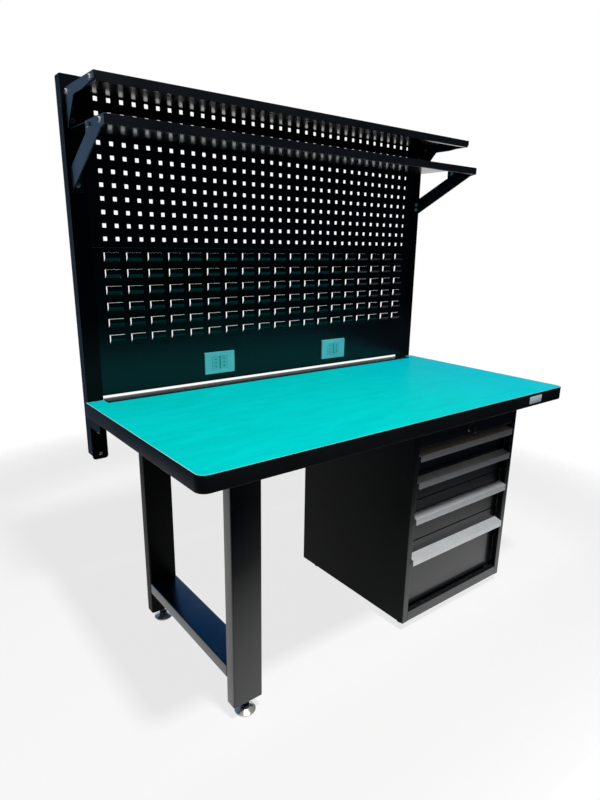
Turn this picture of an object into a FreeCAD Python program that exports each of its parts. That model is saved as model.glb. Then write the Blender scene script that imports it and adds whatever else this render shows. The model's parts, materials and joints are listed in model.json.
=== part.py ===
import FreeCAD, Part
import os
from types import SimpleNamespace

import Sketcher

# Workbench: a laminated worktop on one leg frame and one drawer cabinet, with two
# uprights behind it that carry a perforated panel, a louvred panel, a socket panel
# and two shelves. Millimetres, +Z up, the front faces -Y, the origin is on the floor
# under the middle of the whole bench.

SIZES = {
    # Worktop
    "worktop_length": 1500,
    "worktop_depth": 750,
    "worktop_height": 810,
    "worktop_thickness": 44,
    "worktop_corner": 28,
    "band_thickness": 3,
    "laminate_thickness": 1.2,
    # Leg frame and its levelling feet
    "leg_inset": 141,
    "leg_setback": 110,
    "leg_width": 95,
    "leg_depth": 40,
    "leg_wall": 2.5,
    "leg_foot_plate": 4,
    "leg_floor_gap": 41,
    "leg_frame_depth": 587,
    "leg_top_plate": 5,
    "stretcher_rise": 80,
    "stretcher_height": 40,
    "stretcher_wall": 2,
    "foot_diameter": 62,
    "foot_pad_height": 13,
    "foot_crown_diameter": 30,
    "foot_rim_height": 6,
    "stud_diameter": 12,
    "stud_seat": 6,
    "stud_reach": 45,
    "stud_collar": 8,
    "stud_collar_width": 24,
    "thread_fit": 0.05,
    # Cabinet shell
    "cabinet_width": 560,
    "cabinet_depth": 560,
    "cabinet_inset": 123,
    "cabinet_setback": 102,
    "cabinet_sheet": 1.5,
    "glide_height": 30,
    "glide_diameter": 32,
    "glide_crown_diameter": 24,
    "glide_inset": 45,
    "stile_width": 25,
    "frame_return": 20,
    "base_rail_height": 39,
    "header_height": 95,
    # Drawers, from the top one down; the lowest one takes the rest of the height
    "drawer_1_height": 95,
    "drawer_2_height": 99,
    "drawer_3_height": 153,
    "drawer_gap": 1.5,
    "drawer_sheet": 1.2,
    "drawer_depth": 500,
    "drawer_floor_rise": 6,
    "drawer_rim_drop": 22,
    "front_recess": 25,
    "front_fold": 10,
    # Telescopic slides and the posts that carry them
    "slide_thickness": 12.7,
    "slide_height": 32,
    "slide_length": 500,
    "slide_wall": 1.2,
    "slide_gap": 1,
    "slide_rise": 24,
    "slide_setback": 45,
    "slide_clearance": 2,
    "post_depth": 40,
    "post_wall": 1.5,
    "post_spacing": 420,
    # Handle profile
    "handle_drop": 12,
    "deep_handle_drop": 43,
    "handle_slope": 8,
    "handle_reach": 32,
    "handle_lip": 22,
    "handle_wall": 2,
    "handle_flange": 26,
    # Central lock
    "lock_rise": 25,
    "lock_rim_diameter": 27,
    "lock_rim": 3,
    "lock_barrel_diameter": 21,
    "lock_barrel": 24,
    "lock_fit": 0.05,
    "plug_diameter": 14,
    "plug_tail": 6,
    "key_thickness": 2.2,
    "key_bow": 24,
    "key_blade": 8,
    "key_reach": 22,
    "key_hole": 7,
    "cam_thickness": 3,
    "cam_throw": 10,
    "cam_pin": 5,
    "cam_rim": 4,
    "bar_thickness": 3,
    "bar_width": 18,
    "bar_slack": 3,
    "bar_gap": 1,
    "tab_height": 6,
    "tab_rise": 5,
    "tab_reach": 14,
    "catch_height": 8,
    "catch_reach": 9,
    "catch_gap": 2,
    "guide_height": 30,
    # Uprights and panels
    "upright_width": 50,
    "upright_depth": 40,
    "upright_wall": 2.5,
    "upright_inset": 10,
    "upright_drop": 181,
    "panel_sheet": 1.5,
    "panel_fold": 25,
    "pegboard_height": 457,
    "louvre_panel_height": 294,
    "socket_panel_height": 160,
    "socket_panel_gap": 13,
    "peg_pitch": 38,
    "peg_hole": 12,
    "peg_top_margin": 50,
    "louvre_pitch_across": 70,
    "louvre_pitch_down": 50,
    "louvre_width": 49,
    "louvre_height": 25,
    "louvre_lift": 7,
    "louvre_slit": 1,
    "louvre_top_margin": 13,
    "rail_depth": 45,
    "rail_height": 5,
    "rail_wall": 1.5,
    # Socket units
    "socket_spacing": 534,
    "socket_rise": 64,
    "socket_plate_width": 120,
    "socket_plate_height": 77,
    "socket_plate_depth": 8,
    "socket_module_width": 30,
    "socket_module_height": 46,
    "socket_module_spacing": 33,
    "socket_module_depth": 28,
    "socket_pin_hole": 5,
    "socket_pin_spacing": 13,
    "socket_pin_depth": 18,
    "socket_box_width": 106,
    "socket_box_height": 66,
    "socket_box_depth": 34,
    "socket_box_wall": 2,
    "socket_cable_hole": 20,
    "socket_fit": 0.3,
    # Shelves and their brackets
    "shelf_sheet": 1.5,
    "shelf_lip": 24,
    "shelf_lip_return": 12,
    "upper_shelf_drop": 38,
    "upper_shelf_depth": 241,
    "shelf_spacing": 102,
    "lower_shelf_depth": 289,
    "bracket_plate": 4,
    "bracket_flange": 32,
    "bracket_inset": 8,
    "arm_nose": 17,
    "arm_height": 27,
    "arm_taper": 90,
    "gusset_width": 70,
    "gusset_gap": 3,
    "gusset_toe": 12,
    "strut_head": 136,
    "strut_head_height": 28,
    "strut_nose": 26,
    "strut_foot_top": 104,
    "strut_foot": 60,
    "bench_bracket_reach": 94,
    "bench_bracket_gusset": 37,
    "bench_bracket_drop": 12,
    "bench_bracket_corner": 10,
    # Fasteners
    "bolt_diameter": 8,
    "bolt_head_width": 13,
    "bolt_head": 5.5,
    "bolt_nut": 6.5,
    "bolt_tail": 3,
    "panel_bolt_diameter": 6,
    "panel_bolt_head_width": 10,
    "panel_bolt_head": 4,
    "panel_bolt_nut": 5,
    "panel_bolt_margin": 38,
    "hole_fit": 0.3,
    "screw_diameter": 6,
    "screw_head_diameter": 12,
    "screw_head": 4,
    "screw_bite": 25,
    "screw_fit": 0.05,
    "screw_margin": 60,
    "shelf_bolt_rear": 30,
    "shelf_bolt_front": 25,
    "edge_margin": 20,
}

COUNTS = {
    "peg_columns": 35,
    "peg_rows": 11,
    "louvre_columns": 19,
    "louvre_rows": 6,
    "socket_pins": 3,
}

VECTOR = FreeCAD.Vector
DRAWERS = (1, 2, 3, 4)
DEEP_DRAWERS = (3, 4)
LEFT, RIGHT = -1, 1
SIDES = (LEFT, RIGHT)
HEX_SIDES = 6
HEX_CORNER = 0.57735


class Size:
    """A length that knows both its number and its formula over the sheet's names."""

    def __init__(self, number, formula):
        self.number = number
        self.formula = formula

    def __float__(self):
        return self.number

    def __neg__(self):
        return Size(-self.number, f"-({self.formula})")

    def __add__(self, other):
        other = as_size(other)
        return Size(self.number + other.number, f"({self.formula} + {other.formula})")

    def __sub__(self, other):
        other = as_size(other)
        return Size(self.number - other.number, f"({self.formula} - {other.formula})")

    def __mul__(self, factor):
        return Size(self.number * factor, f"({self.formula} * {factor})")

    def __truediv__(self, factor):
        return Size(self.number / factor, f"({self.formula} / {factor})")

    __radd__ = __add__
    __rmul__ = __mul__


def as_size(thing):
    """A plain number as a Size."""
    return thing if isinstance(thing, Size) else Size(float(thing), f"{float(thing)}")


doc = FreeCAD.newDocument("Workbench")
sheet = doc.addObject("Spreadsheet::Sheet", "Dims")
for row, (alias, value) in enumerate({**SIZES, **COUNTS}.items(), start=1):
    sheet.set(f"A{row}", alias)
    sheet.set(f"B{row}", str(value))
    sheet.setAlias(f"B{row}", alias)
doc.recompute()
dim = SimpleNamespace(**{a: Size(float(sheet.get(a)), f"Dims.{a}") for a in SIZES})
count = SimpleNamespace(**{a: int(sheet.get(a)) for a in COUNTS})
NOUGHT = as_size(0)
nodes = {}


def node(label, piece):
    """Names a finished piece, which becomes one node of the assembly."""
    piece.Label = label
    nodes[label] = piece
    return piece


def bind(thing, prop, size):
    """Ties a property to the sheet."""
    thing.setExpression(prop, as_size(size).formula)


def place(thing, x=NOUGHT, y=NOUGHT, z=NOUGHT):
    """Ties the position of a piece to the sheet."""
    for axis, size in zip("xyz", (x, y, z)):
        bind(thing, f"Placement.Base.{axis}", size)
    return thing


def block(name, x, y, z):
    """A box between two places along each axis."""
    box = doc.addObject("Part::Box", name)
    for prop, (low, high) in zip(("Length", "Width", "Height"), (x, y, z)):
        bind(box, prop, as_size(high) - low)
    return place(box, x[0], y[0], z[0])


def rod(name, axis, diameter, start, length):
    """A cylinder along +X, +Y or +Z from a starting point."""
    cylinder = doc.addObject("Part::Cylinder", name)
    turns = {
        "x": FreeCAD.Rotation(VECTOR(0, 1, 0), 90),
        "y": FreeCAD.Rotation(VECTOR(1, 0, 0), -90),
        "z": FreeCAD.Rotation(),
    }
    cylinder.Placement = FreeCAD.Placement(VECTOR(), turns[axis])
    bind(cylinder, "Radius", as_size(diameter) / 2)
    bind(cylinder, "Height", length)
    return place(cylinder, *start)


def fuse(name, pieces):
    """Pieces welded or folded as one."""
    joined = doc.addObject("Part::MultiFuse", name)
    joined.Shapes = list(pieces)
    joined.Refine = True
    return joined


def together(name, pieces):
    """Separate solids that share one node."""
    group = doc.addObject("Part::Compound", name)
    group.Links = list(pieces)
    return group


def cut(name, base, tools):
    """A piece with cutters taken out of it."""
    tools = list(tools)
    result = doc.addObject("Part::Cut", name)
    result.Base = base
    result.Tool = tools[0] if len(tools) == 1 else together(name + "_cutters", tools)
    return result


def solid_feature(name, shape):
    """A shape that only the functions below can make, sized from the sheet."""
    feature = doc.addObject("Part::Feature", name)
    feature.Shape = shape
    return feature


def mirrored(side, near, far):
    """Two distances from the middle plane as an interval on one side of it."""
    return (near, far) if side == RIGHT else (-as_size(far), -as_size(near))


def side_name(side):
    return "right" if side == RIGHT else "left"


def draw_loop(sketch, points):
    """A closed loop of straight edges whose corners are tied to the sheet."""
    first = len(sketch.Geometry)
    total = len(points)
    corners = [VECTOR(float(x), float(y), 0) for x, y in points]
    for i in range(total):
        sketch.addGeometry(Part.LineSegment(corners[i], corners[(i + 1) % total]), False)
    for i in range(total):
        joint = Sketcher.Constraint("Coincident", first + i, 2, first + (i + 1) % total, 1)
        sketch.addConstraint(joint)
    for i, point in enumerate(points):
        tie_point(sketch, first + i, 1, point)


def draw_circle(sketch, centre, diameter):
    """A circle tied to the sheet."""
    middle = VECTOR(float(centre[0]), float(centre[1]), 0)
    circle = Part.Circle(middle, VECTOR(0, 0, 1), float(diameter) / 2)
    index = sketch.addGeometry(circle, False)
    tie_point(sketch, index, 3, centre)
    name = f"diameter{index}"
    constraint = sketch.addConstraint(Sketcher.Constraint("Diameter", index, float(diameter)))
    sketch.renameConstraint(constraint, name)
    bind(sketch, f"Constraints.{name}", diameter)


def tie_point(sketch, index, corner, point):
    """Ties one point of a sketch to its two distances from the sketch's origin."""
    for axis, size in zip("XY", point):
        name = f"{axis.lower()}{index}"
        distance = Sketcher.Constraint(f"Distance{axis}", -1, 1, index, corner, float(size))
        sketch.renameConstraint(sketch.addConstraint(distance), name)
        bind(sketch, f"Constraints.{name}", size)


def sketch_on(body, name, plane):
    """An empty sketch on one of a body's own origin planes."""
    sketch = body.newObject("Sketcher::SketchObject", name)
    origin_plane = next(f for f in body.Origin.OriginFeatures if f.Role == plane)
    sketch.AttachmentSupport = [(origin_plane, "")]
    sketch.MapMode = "FlatFace"
    return sketch


def plate(name, plane, outline, start, end, holes=(), windows=()):
    """A body padded along its plane's normal; the XZ plane's normal is -Y."""
    body = doc.addObject("PartDesign::Body", name)
    sketch = sketch_on(body, name + "_outline", plane)
    draw_loop(sketch, outline)
    for window in windows:
        draw_loop(sketch, window)
    for centre, diameter in holes:
        draw_circle(sketch, centre, diameter)
    bind(sketch, "AttachmentOffset.Base.z", start)
    pad = body.newObject("PartDesign::Pad", name + "_pad")
    pad.Profile = sketch
    bind(pad, "Length", as_size(end) - start)
    return body


def rectangle(x, y):
    """The corners of a rectangle between two places along each sketch axis."""
    return [(x[0], y[0]), (x[1], y[0]), (x[1], y[1]), (x[0], y[1])]


def round_corners(body, radius, chosen):
    """Fillets the edges of a body's pad whose middle point is chosen."""
    doc.recompute()
    pad = body.Tip
    names = [f"Edge{i}" for i, edge in enumerate(pad.Shape.Edges, start=1) if chosen(edge)]
    fillet = body.newObject("PartDesign::Fillet", body.Name + "_corners")
    fillet.Base = (pad, names)
    bind(fillet, "Radius", radius)
    return body


def along(direction):
    """Picks edges that run along a direction."""
    def chosen(edge):
        run = edge.Vertexes[-1].Point - edge.Vertexes[0].Point
        return run.Length > 0 and abs(run.normalize().dot(direction)) > 0.999
    return chosen


def turned(name, plane, outline):
    """A body of revolution about its sketch's vertical axis."""
    body = doc.addObject("PartDesign::Body", name)
    sketch = sketch_on(body, name + "_outline", plane)
    draw_loop(sketch, outline)
    revolution = body.newObject("PartDesign::Revolution", name + "_turn")
    revolution.Profile = sketch
    revolution.ReferenceAxis = (sketch, ["V_Axis"])
    revolution.Angle = 360
    return body


# Places that several pieces share
front = -(dim.worktop_depth + dim.upright_depth) / 2
back = front + dim.worktop_depth
half_length = dim.worktop_length / 2
worktop_under = dim.worktop_height - dim.worktop_thickness

leg_x = (dim.leg_inset - half_length, dim.leg_inset - half_length + dim.leg_width)
leg_middle = (leg_x[0] + leg_x[1]) / 2
front_leg_y = (front + dim.leg_setback, front + dim.leg_setback + dim.leg_depth)
frame_end = front + dim.leg_setback + dim.leg_frame_depth
rear_leg_y = (frame_end - dim.leg_depth, frame_end)
leg_top = worktop_under - dim.leg_top_plate

cabinet_x = (half_length - dim.cabinet_inset - dim.cabinet_width, half_length - dim.cabinet_inset)
cabinet_middle = (cabinet_x[0] + cabinet_x[1]) / 2
cabinet_half = dim.cabinet_width / 2
cabinet_y = (front + dim.cabinet_setback, front + dim.cabinet_setback + dim.cabinet_depth)
return_end = cabinet_y[0] + dim.frame_return
opening_half = cabinet_half - dim.stile_width
inner_half = cabinet_half - dim.cabinet_sheet
base_rail_top = dim.glide_height + dim.base_rail_height
header_bottom = worktop_under - dim.header_height
drawer_heights = {number: getattr(dim, f"drawer_{number}_height") for number in DRAWERS[:-1]}
drawer_bottoms = {}
for number, height in drawer_heights.items():
    drawer_bottoms[number] = drawer_bottoms.get(number - 1, header_bottom) - height
drawer_heights[DRAWERS[-1]] = drawer_bottoms[DRAWERS[-2]] - base_rail_top
drawer_bottoms[DRAWERS[-1]] = base_rail_top

upright_outer = half_length - dim.upright_inset
upright_inner = upright_outer - dim.upright_width
upright_bottom = dim.worktop_height - dim.upright_drop
socket_panel_bottom = dim.worktop_height + dim.socket_panel_gap
socket_panel_top = socket_panel_bottom + dim.socket_panel_height
louvre_panel_top = socket_panel_top + dim.louvre_panel_height
upright_top = louvre_panel_top + dim.pegboard_height
upper_shelf_top = upright_top - dim.upper_shelf_drop
lower_shelf_top = upper_shelf_top - dim.shelf_spacing


# Worktop
def worktop_slab(name, inset, low, high):
    """A slab of the worktop's outline, rounded at its front and drawn in by an inset."""
    x = (inset - half_length, half_length - inset)
    y = (front + inset, back - inset)
    slab = plate(name, "XY_Plane", rectangle(x, y), low, high)

    def front_corner(edge):
        return along(VECTOR(0, 0, 1))(edge) and edge.BoundBox.YMax < float(back) / 2

    return round_corners(slab, dim.worktop_corner - inset, front_corner)


# Wood screws rise into the worktop from the leg plate, the cabinet and the brackets
leg_screw_places = [
    (leg_middle + side * (dim.leg_width / 2 - dim.edge_margin), y)
    for side in SIDES
    for y in (front_leg_y[1] + dim.screw_margin, rear_leg_y[0] - dim.screw_margin)
]
cabinet_screw_places = [
    (cabinet_middle + side * (opening_half - dim.screw_margin), y)
    for side in SIDES
    for y in (return_end + dim.screw_margin, cabinet_y[1] - dim.screw_margin)
]
bracket_screw_places = [
    (side * (upright_outer - dim.upright_width / 2), back - dim.bench_bracket_reach + dim.edge_margin)
    for side in SIDES
]
screw_seats = (
    [(x, y, dim.leg_top_plate) for x, y in leg_screw_places]
    + [(x, y, dim.cabinet_sheet) for x, y in cabinet_screw_places]
    + [(x, y, dim.bracket_plate) for x, y in bracket_screw_places]
)
pilot = dim.screw_diameter + 2 * dim.screw_fit
clearance_hole = dim.screw_diameter + 2 * dim.hole_fit


def screw_holes(name, places, start, length, diameter):
    """Upright holes for the wood screws."""
    return [rod(f"{name}_{i}", "z", diameter, (x, y, start), length) for i, (x, y) in enumerate(places)]


core_top = dim.worktop_height - dim.laminate_thickness
screw_places = [(x, y) for x, y, grip in screw_seats]
pilots = screw_holes("pilot", screw_places, worktop_under, dim.screw_bite, pilot)
core_slab = worktop_slab("core_slab", dim.band_thickness, worktop_under, core_top)
node("worktop_core", cut("core_drilled", core_slab, pilots))
node("worktop_laminate", worktop_slab("laminate", dim.band_thickness, core_top, dim.worktop_height))
band_outside = worktop_slab("band_outside", NOUGHT, worktop_under, dim.worktop_height)
band_inside = worktop_slab("band_inside", dim.band_thickness, worktop_under, dim.worktop_height)
node("worktop_edge_band", cut("band", band_outside, [band_inside]))


# Leg frame
def leg(name, y):
    """A box-section leg with a drilled plate closing its foot."""
    tube = block(name + "_tube", leg_x, y, (dim.leg_floor_gap, leg_top))
    wall = dim.leg_wall
    hollow = block(
        name + "_hollow",
        (leg_x[0] + wall, leg_x[1] - wall),
        (y[0] + wall, y[1] - wall),
        (dim.leg_floor_gap + dim.leg_foot_plate, leg_top),
    )
    middle = (leg_middle, (y[0] + y[1]) / 2, dim.leg_floor_gap)
    threaded = dim.stud_diameter + 2 * dim.thread_fit
    drill = rod(name + "_drill", "z", threaded, middle, dim.leg_foot_plate)
    return node(name, cut(name + "_cut", tube, [hollow, drill]))


def levelling_foot(name, y):
    """A swivelling pad and the threaded stud with its hexagon collar."""
    middle = (leg_middle, (y[0] + y[1]) / 2)
    radius = dim.foot_diameter / 2
    crown = dim.foot_crown_diameter / 2
    socket = dim.stud_diameter / 2 + dim.hole_fit
    seat = dim.foot_pad_height - dim.stud_seat
    outline = [
        (NOUGHT, NOUGHT),
        (radius, NOUGHT),
        (radius, dim.foot_rim_height),
        (crown, dim.foot_pad_height),
        (socket, dim.foot_pad_height),
        (socket, seat),
        (NOUGHT, seat),
    ]
    pad = turned(name + "_pad_body", "XZ_Plane", outline)
    node(name + "_pad", place(pad, *middle))
    shank_length = dim.stud_seat + dim.leg_floor_gap - dim.foot_pad_height + dim.stud_reach
    shank = rod(name + "_shank", "z", dim.stud_diameter, (*middle, seat), shank_length)
    collar = doc.addObject("Part::Prism", name + "_collar")
    collar.Polygon = HEX_SIDES
    bind(collar, "Circumradius", dim.stud_collar_width * HEX_CORNER)
    bind(collar, "Height", dim.stud_collar)
    place(collar, *middle, dim.foot_pad_height)
    node(name + "_stud", fuse(name + "_stud_body", [shank, collar]))


for leg_label, leg_y in (("front", front_leg_y), ("rear", rear_leg_y)):
    leg(f"{leg_label}_leg", leg_y)
    levelling_foot(f"{leg_label}_foot", leg_y)

stretcher_y = (front_leg_y[1], rear_leg_y[0])
stretcher_z = (
    dim.leg_floor_gap + dim.stretcher_rise,
    dim.leg_floor_gap + dim.stretcher_rise + dim.stretcher_height,
)
wall = dim.stretcher_wall
stretcher_tube = block("stretcher_tube", leg_x, stretcher_y, stretcher_z)
stretcher_hollow = block(
    "stretcher_hollow",
    (leg_x[0] + wall, leg_x[1] - wall),
    stretcher_y,
    (stretcher_z[0] + wall, stretcher_z[1] - wall),
)
node("leg_stretcher", cut("stretcher", stretcher_tube, [stretcher_hollow]))
top_plate = block("top_plate_blank", leg_x, (front_leg_y[0], rear_leg_y[1]), (leg_top, worktop_under))
top_plate_holes = screw_holes("leg_hole", leg_screw_places, leg_top, dim.leg_top_plate, clearance_hole)
node("leg_top_plate", cut("top_plate", top_plate, top_plate_holes))


# Cabinet shell
def cabinet_x_span(side, near, far):
    """Two distances from the cabinet's middle plane as an interval along X."""
    low, high = mirrored(side, near, far)
    return (cabinet_middle + low, cabinet_middle + high)


def cabinet_side(side):
    """A side sheet folded round its front edge into the stile and its return."""
    skin = dim.cabinet_sheet
    profile = [
        (cabinet_half, cabinet_y[0]),
        (opening_half, cabinet_y[0]),
        (opening_half, return_end),
        (opening_half + skin, return_end),
        (opening_half + skin, cabinet_y[0] + skin),
        (inner_half, cabinet_y[0] + skin),
        (inner_half, cabinet_y[1]),
        (cabinet_half, cabinet_y[1]),
    ]
    outline = [(cabinet_middle + side * x, y) for x, y in profile]
    name = f"cabinet_{side_name(side)}_side"
    return plate(name + "_sheet", "XY_Plane", outline, dim.glide_height, worktop_under)


node("cabinet_left_side", cabinet_side(LEFT))

slide_near = opening_half - dim.slide_clearance
bar_front = cabinet_y[0] + dim.lock_barrel + dim.plug_tail + dim.bar_gap
bar_y = (bar_front, bar_front + dim.bar_thickness)
bar_far = inner_half - dim.slide_clearance
bar_near = bar_far - dim.bar_width


def lock_bar_guides():
    """Two straps on the right side that hold the lock bar upright."""
    gap = dim.slide_gap / 2
    skin = dim.cabinet_sheet
    x = cabinet_x_span(RIGHT, bar_near, inner_half)
    low_level = drawer_bottoms[4] + drawer_heights[4] / 2
    high_level = drawer_bottoms[2]
    for level in (low_level, high_level):
        z = (level, level + dim.guide_height)
        index = len(doc.Objects)
        yield block(f"guide_front_{index}", x, (bar_y[0] - gap - skin, bar_y[0] - gap), z)
        yield block(f"guide_rear_{index}", x, (bar_y[1] + gap, bar_y[1] + gap + skin), z)


node("cabinet_right_side", fuse("right_side", [cabinet_side(RIGHT), *lock_bar_guides()]))

inside_x = cabinet_x_span(RIGHT, -inner_half, inner_half)
opening_x = cabinet_x_span(RIGHT, -opening_half, opening_half)
skin = dim.cabinet_sheet
shell_z = (dim.glide_height, worktop_under)
back_sheet_y = (cabinet_y[1] - skin, cabinet_y[1])
node("cabinet_back", block("back_sheet", inside_x, back_sheet_y, shell_z))
top_sheet_z = (worktop_under - skin, worktop_under)
top_sheet = block("top_sheet", inside_x, (return_end, back_sheet_y[0]), top_sheet_z)
cabinet_holes = screw_holes("cabinet_hole", cabinet_screw_places, top_sheet_z[0], skin, clearance_hole)
node("cabinet_top", cut("top_drilled", top_sheet, cabinet_holes))


def folded_rail(name, low, high):
    """A front rail between the stiles, with a fold along its top and bottom."""
    outline = [
        (return_end, low),
        (cabinet_y[0], low),
        (cabinet_y[0], high),
        (return_end, high),
        (return_end, high - skin),
        (cabinet_y[0] + skin, high - skin),
        (cabinet_y[0] + skin, low + skin),
        (return_end, low + skin),
    ]
    return plate(name, "YZ_Plane", outline, *opening_x)


floor_z = (dim.glide_height, dim.glide_height + skin)
base_rail = folded_rail("base_rail", dim.glide_height, base_rail_top)
floor_sheet = block("floor_sheet", inside_x, (return_end, back_sheet_y[0]), floor_z)
node("cabinet_base", fuse("base", [base_rail, floor_sheet]))

lock_place = (cabinet_middle, cabinet_y[0], header_bottom + dim.lock_rise)
barrel_hole = rod(
    "barrel_hole",
    "y",
    dim.lock_barrel_diameter + 2 * dim.hole_fit,
    lock_place,
    skin,
)
header_rail = folded_rail("header_rail", header_bottom, worktop_under)
node("lock_header", cut("header", header_rail, [barrel_hole]))


def glide(name, x, y):
    """A plain moulded glide under one corner of the cabinet."""
    radius = dim.glide_diameter / 2
    outline = [
        (NOUGHT, NOUGHT),
        (radius, NOUGHT),
        (radius, dim.glide_height / 2),
        (dim.glide_crown_diameter / 2, dim.glide_height),
        (NOUGHT, dim.glide_height),
    ]
    return place(turned(name, "XZ_Plane", outline), x, y)


glides = [
    glide(f"glide_{side_name(side)}_{end}", cabinet_middle + side * (cabinet_half - dim.glide_inset), y)
    for side in SIDES
    for end, y in (("front", cabinet_y[0] + dim.glide_inset), ("rear", cabinet_y[1] - dim.glide_inset))
]
node("cabinet_glides", together("glides", glides))

slide_y = (cabinet_y[0] + dim.slide_setback, cabinet_y[0] + dim.slide_setback + dim.slide_length)


def slide_post(side, start):
    """A channel post on the side sheet that carries the slides."""
    y = (start, start + dim.post_depth)
    z = (floor_z[1], top_sheet_z[0])
    name = f"post_{side_name(side)}_{len(doc.Objects)}"
    body = block(name, cabinet_x_span(side, slide_near, inner_half), y, z)
    inner_y = (y[0] + dim.post_wall, y[1] - dim.post_wall)
    hollow_x = cabinet_x_span(side, slide_near + dim.post_wall, inner_half)
    return cut(name + "_channel", body, [block(name + "_hollow", hollow_x, inner_y, z)])


post_starts = (slide_y[0], slide_y[0] + dim.post_spacing)
posts = [slide_post(side, start) for side in SIDES for start in post_starts]
node("slide_posts", together("posts", posts))


# Drawers and slides
def slide_member(name, side, number, span, height, web_outside=True):
    """One channel of a telescopic slide; its web is on the post or on the drawer side."""
    near, far = span
    middle = drawer_bottoms[number] + dim.slide_rise + dim.slide_height / 2
    z = (middle - height / 2, middle + height / 2)
    wall = dim.slide_wall
    body = block(name, cabinet_x_span(side, near, far), slide_y, z)
    inner = (near, far - wall) if web_outside else (near + wall, far)
    hollow = block(name + "_hollow", cabinet_x_span(side, *inner), slide_y, (z[0] + wall, z[1] - wall))
    return cut(name + "_channel", body, [hollow])


slide_step = dim.slide_wall + dim.slide_gap
tray_half = slide_near - dim.slide_thickness
outer_height = dim.slide_height
mid_height = outer_height - 2 * slide_step
inner_height = mid_height - 2 * slide_step
member_near = tray_half + dim.slide_wall + dim.slide_gap / 2
mid_far = slide_near - slide_step
outer_slides = [
    slide_member(f"outer_slide_{number}_{side}", side, number, (member_near, slide_near), outer_height)
    for number in DRAWERS
    for side in SIDES
]
node("outer_slides", together("outer_slide_set", outer_slides))

front_face = cabinet_y[0] + dim.front_recess
front_back = front_face + dim.drawer_sheet
front_half = opening_half - dim.drawer_gap
tray_y = (front_back, front_back + dim.drawer_depth)
catch_y = (bar_y[1] + dim.catch_gap, bar_y[1] + dim.catch_gap + dim.bar_thickness)


def drawer_box(number):
    """A folded tray with its wide front and the catch that the lock bar stops."""
    name = f"drawer_{number}"
    bottom = drawer_bottoms[number]
    top = bottom + drawer_heights[number]
    skin = dim.drawer_sheet
    front_x = cabinet_x_span(RIGHT, -front_half, front_half)
    front_z = (bottom + dim.drawer_gap, top - dim.drawer_gap)
    fold_y = (front_back, front_back + dim.front_fold)
    tray_x = cabinet_x_span(RIGHT, -tray_half, tray_half)
    tray_z = (bottom + dim.drawer_floor_rise, top - dim.drawer_rim_drop)
    tray = block(name + "_tray", tray_x, tray_y, tray_z)
    hollow = block(
        name + "_hollow",
        cabinet_x_span(RIGHT, skin - tray_half, tray_half - skin),
        (tray_y[0] + skin, tray_y[1] - skin),
        (tray_z[0] + skin, tray_z[1]),
    )
    catch_low = bottom + dim.tab_rise + dim.tab_height + dim.catch_gap
    catch_x = cabinet_x_span(RIGHT, tray_half, tray_half + dim.catch_reach)
    pieces = [
        block(name + "_face", front_x, (front_face, front_back), front_z),
        block(name + "_top_fold", front_x, fold_y, (front_z[1] - skin, front_z[1])),
        block(name + "_bottom_fold", front_x, fold_y, (front_z[0], front_z[0] + skin)),
        cut(name + "_open_tray", tray, [hollow]),
        block(name + "_catch", catch_x, catch_y, (catch_low, catch_low + dim.catch_height)),
    ]
    node(name + "_box", fuse(name + "_folded", pieces))


def drawer_handle(number):
    """An extruded full-width handle: back flange, sloping face and hanging lip."""
    top = drawer_bottoms[number] + drawer_heights[number] - dim.drawer_gap
    crest = top - (dim.deep_handle_drop if number in DEEP_DRAWERS else dim.handle_drop)
    wall = dim.handle_wall
    reach = front_face - dim.handle_reach
    knee = crest - dim.handle_slope
    outline = [
        (front_face, crest),
        (reach, knee),
        (reach, knee - dim.handle_lip),
        (reach + wall, knee - dim.handle_lip),
        (reach + wall, knee - wall),
        (front_face - wall, crest - 2 * wall),
        (front_face - wall, crest - dim.handle_flange),
        (front_face, crest - dim.handle_flange),
    ]
    ends = cabinet_x_span(RIGHT, -front_half, front_half)
    node(f"drawer_{number}_handle", plate(f"handle_{number}_profile", "YZ_Plane", outline, *ends))


for number in DRAWERS:
    drawer_box(number)
    drawer_handle(number)
    mids, inners = [], []
    for side in SIDES:
        mid_name = f"mid_slide_{number}_{side}"
        mids.append(slide_member(mid_name, side, number, (member_near, mid_far), mid_height))
        inner_name = f"inner_slide_{number}_{side}"
        inner_span = (tray_half, mid_far - slide_step)
        inners.append(slide_member(inner_name, side, number, inner_span, inner_height, False))
    node(f"drawer_{number}_mid_slides", together(f"mid_slides_{number}", mids))
    node(f"drawer_{number}_inner_slides", together(f"inner_slides_{number}", inners))


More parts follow.
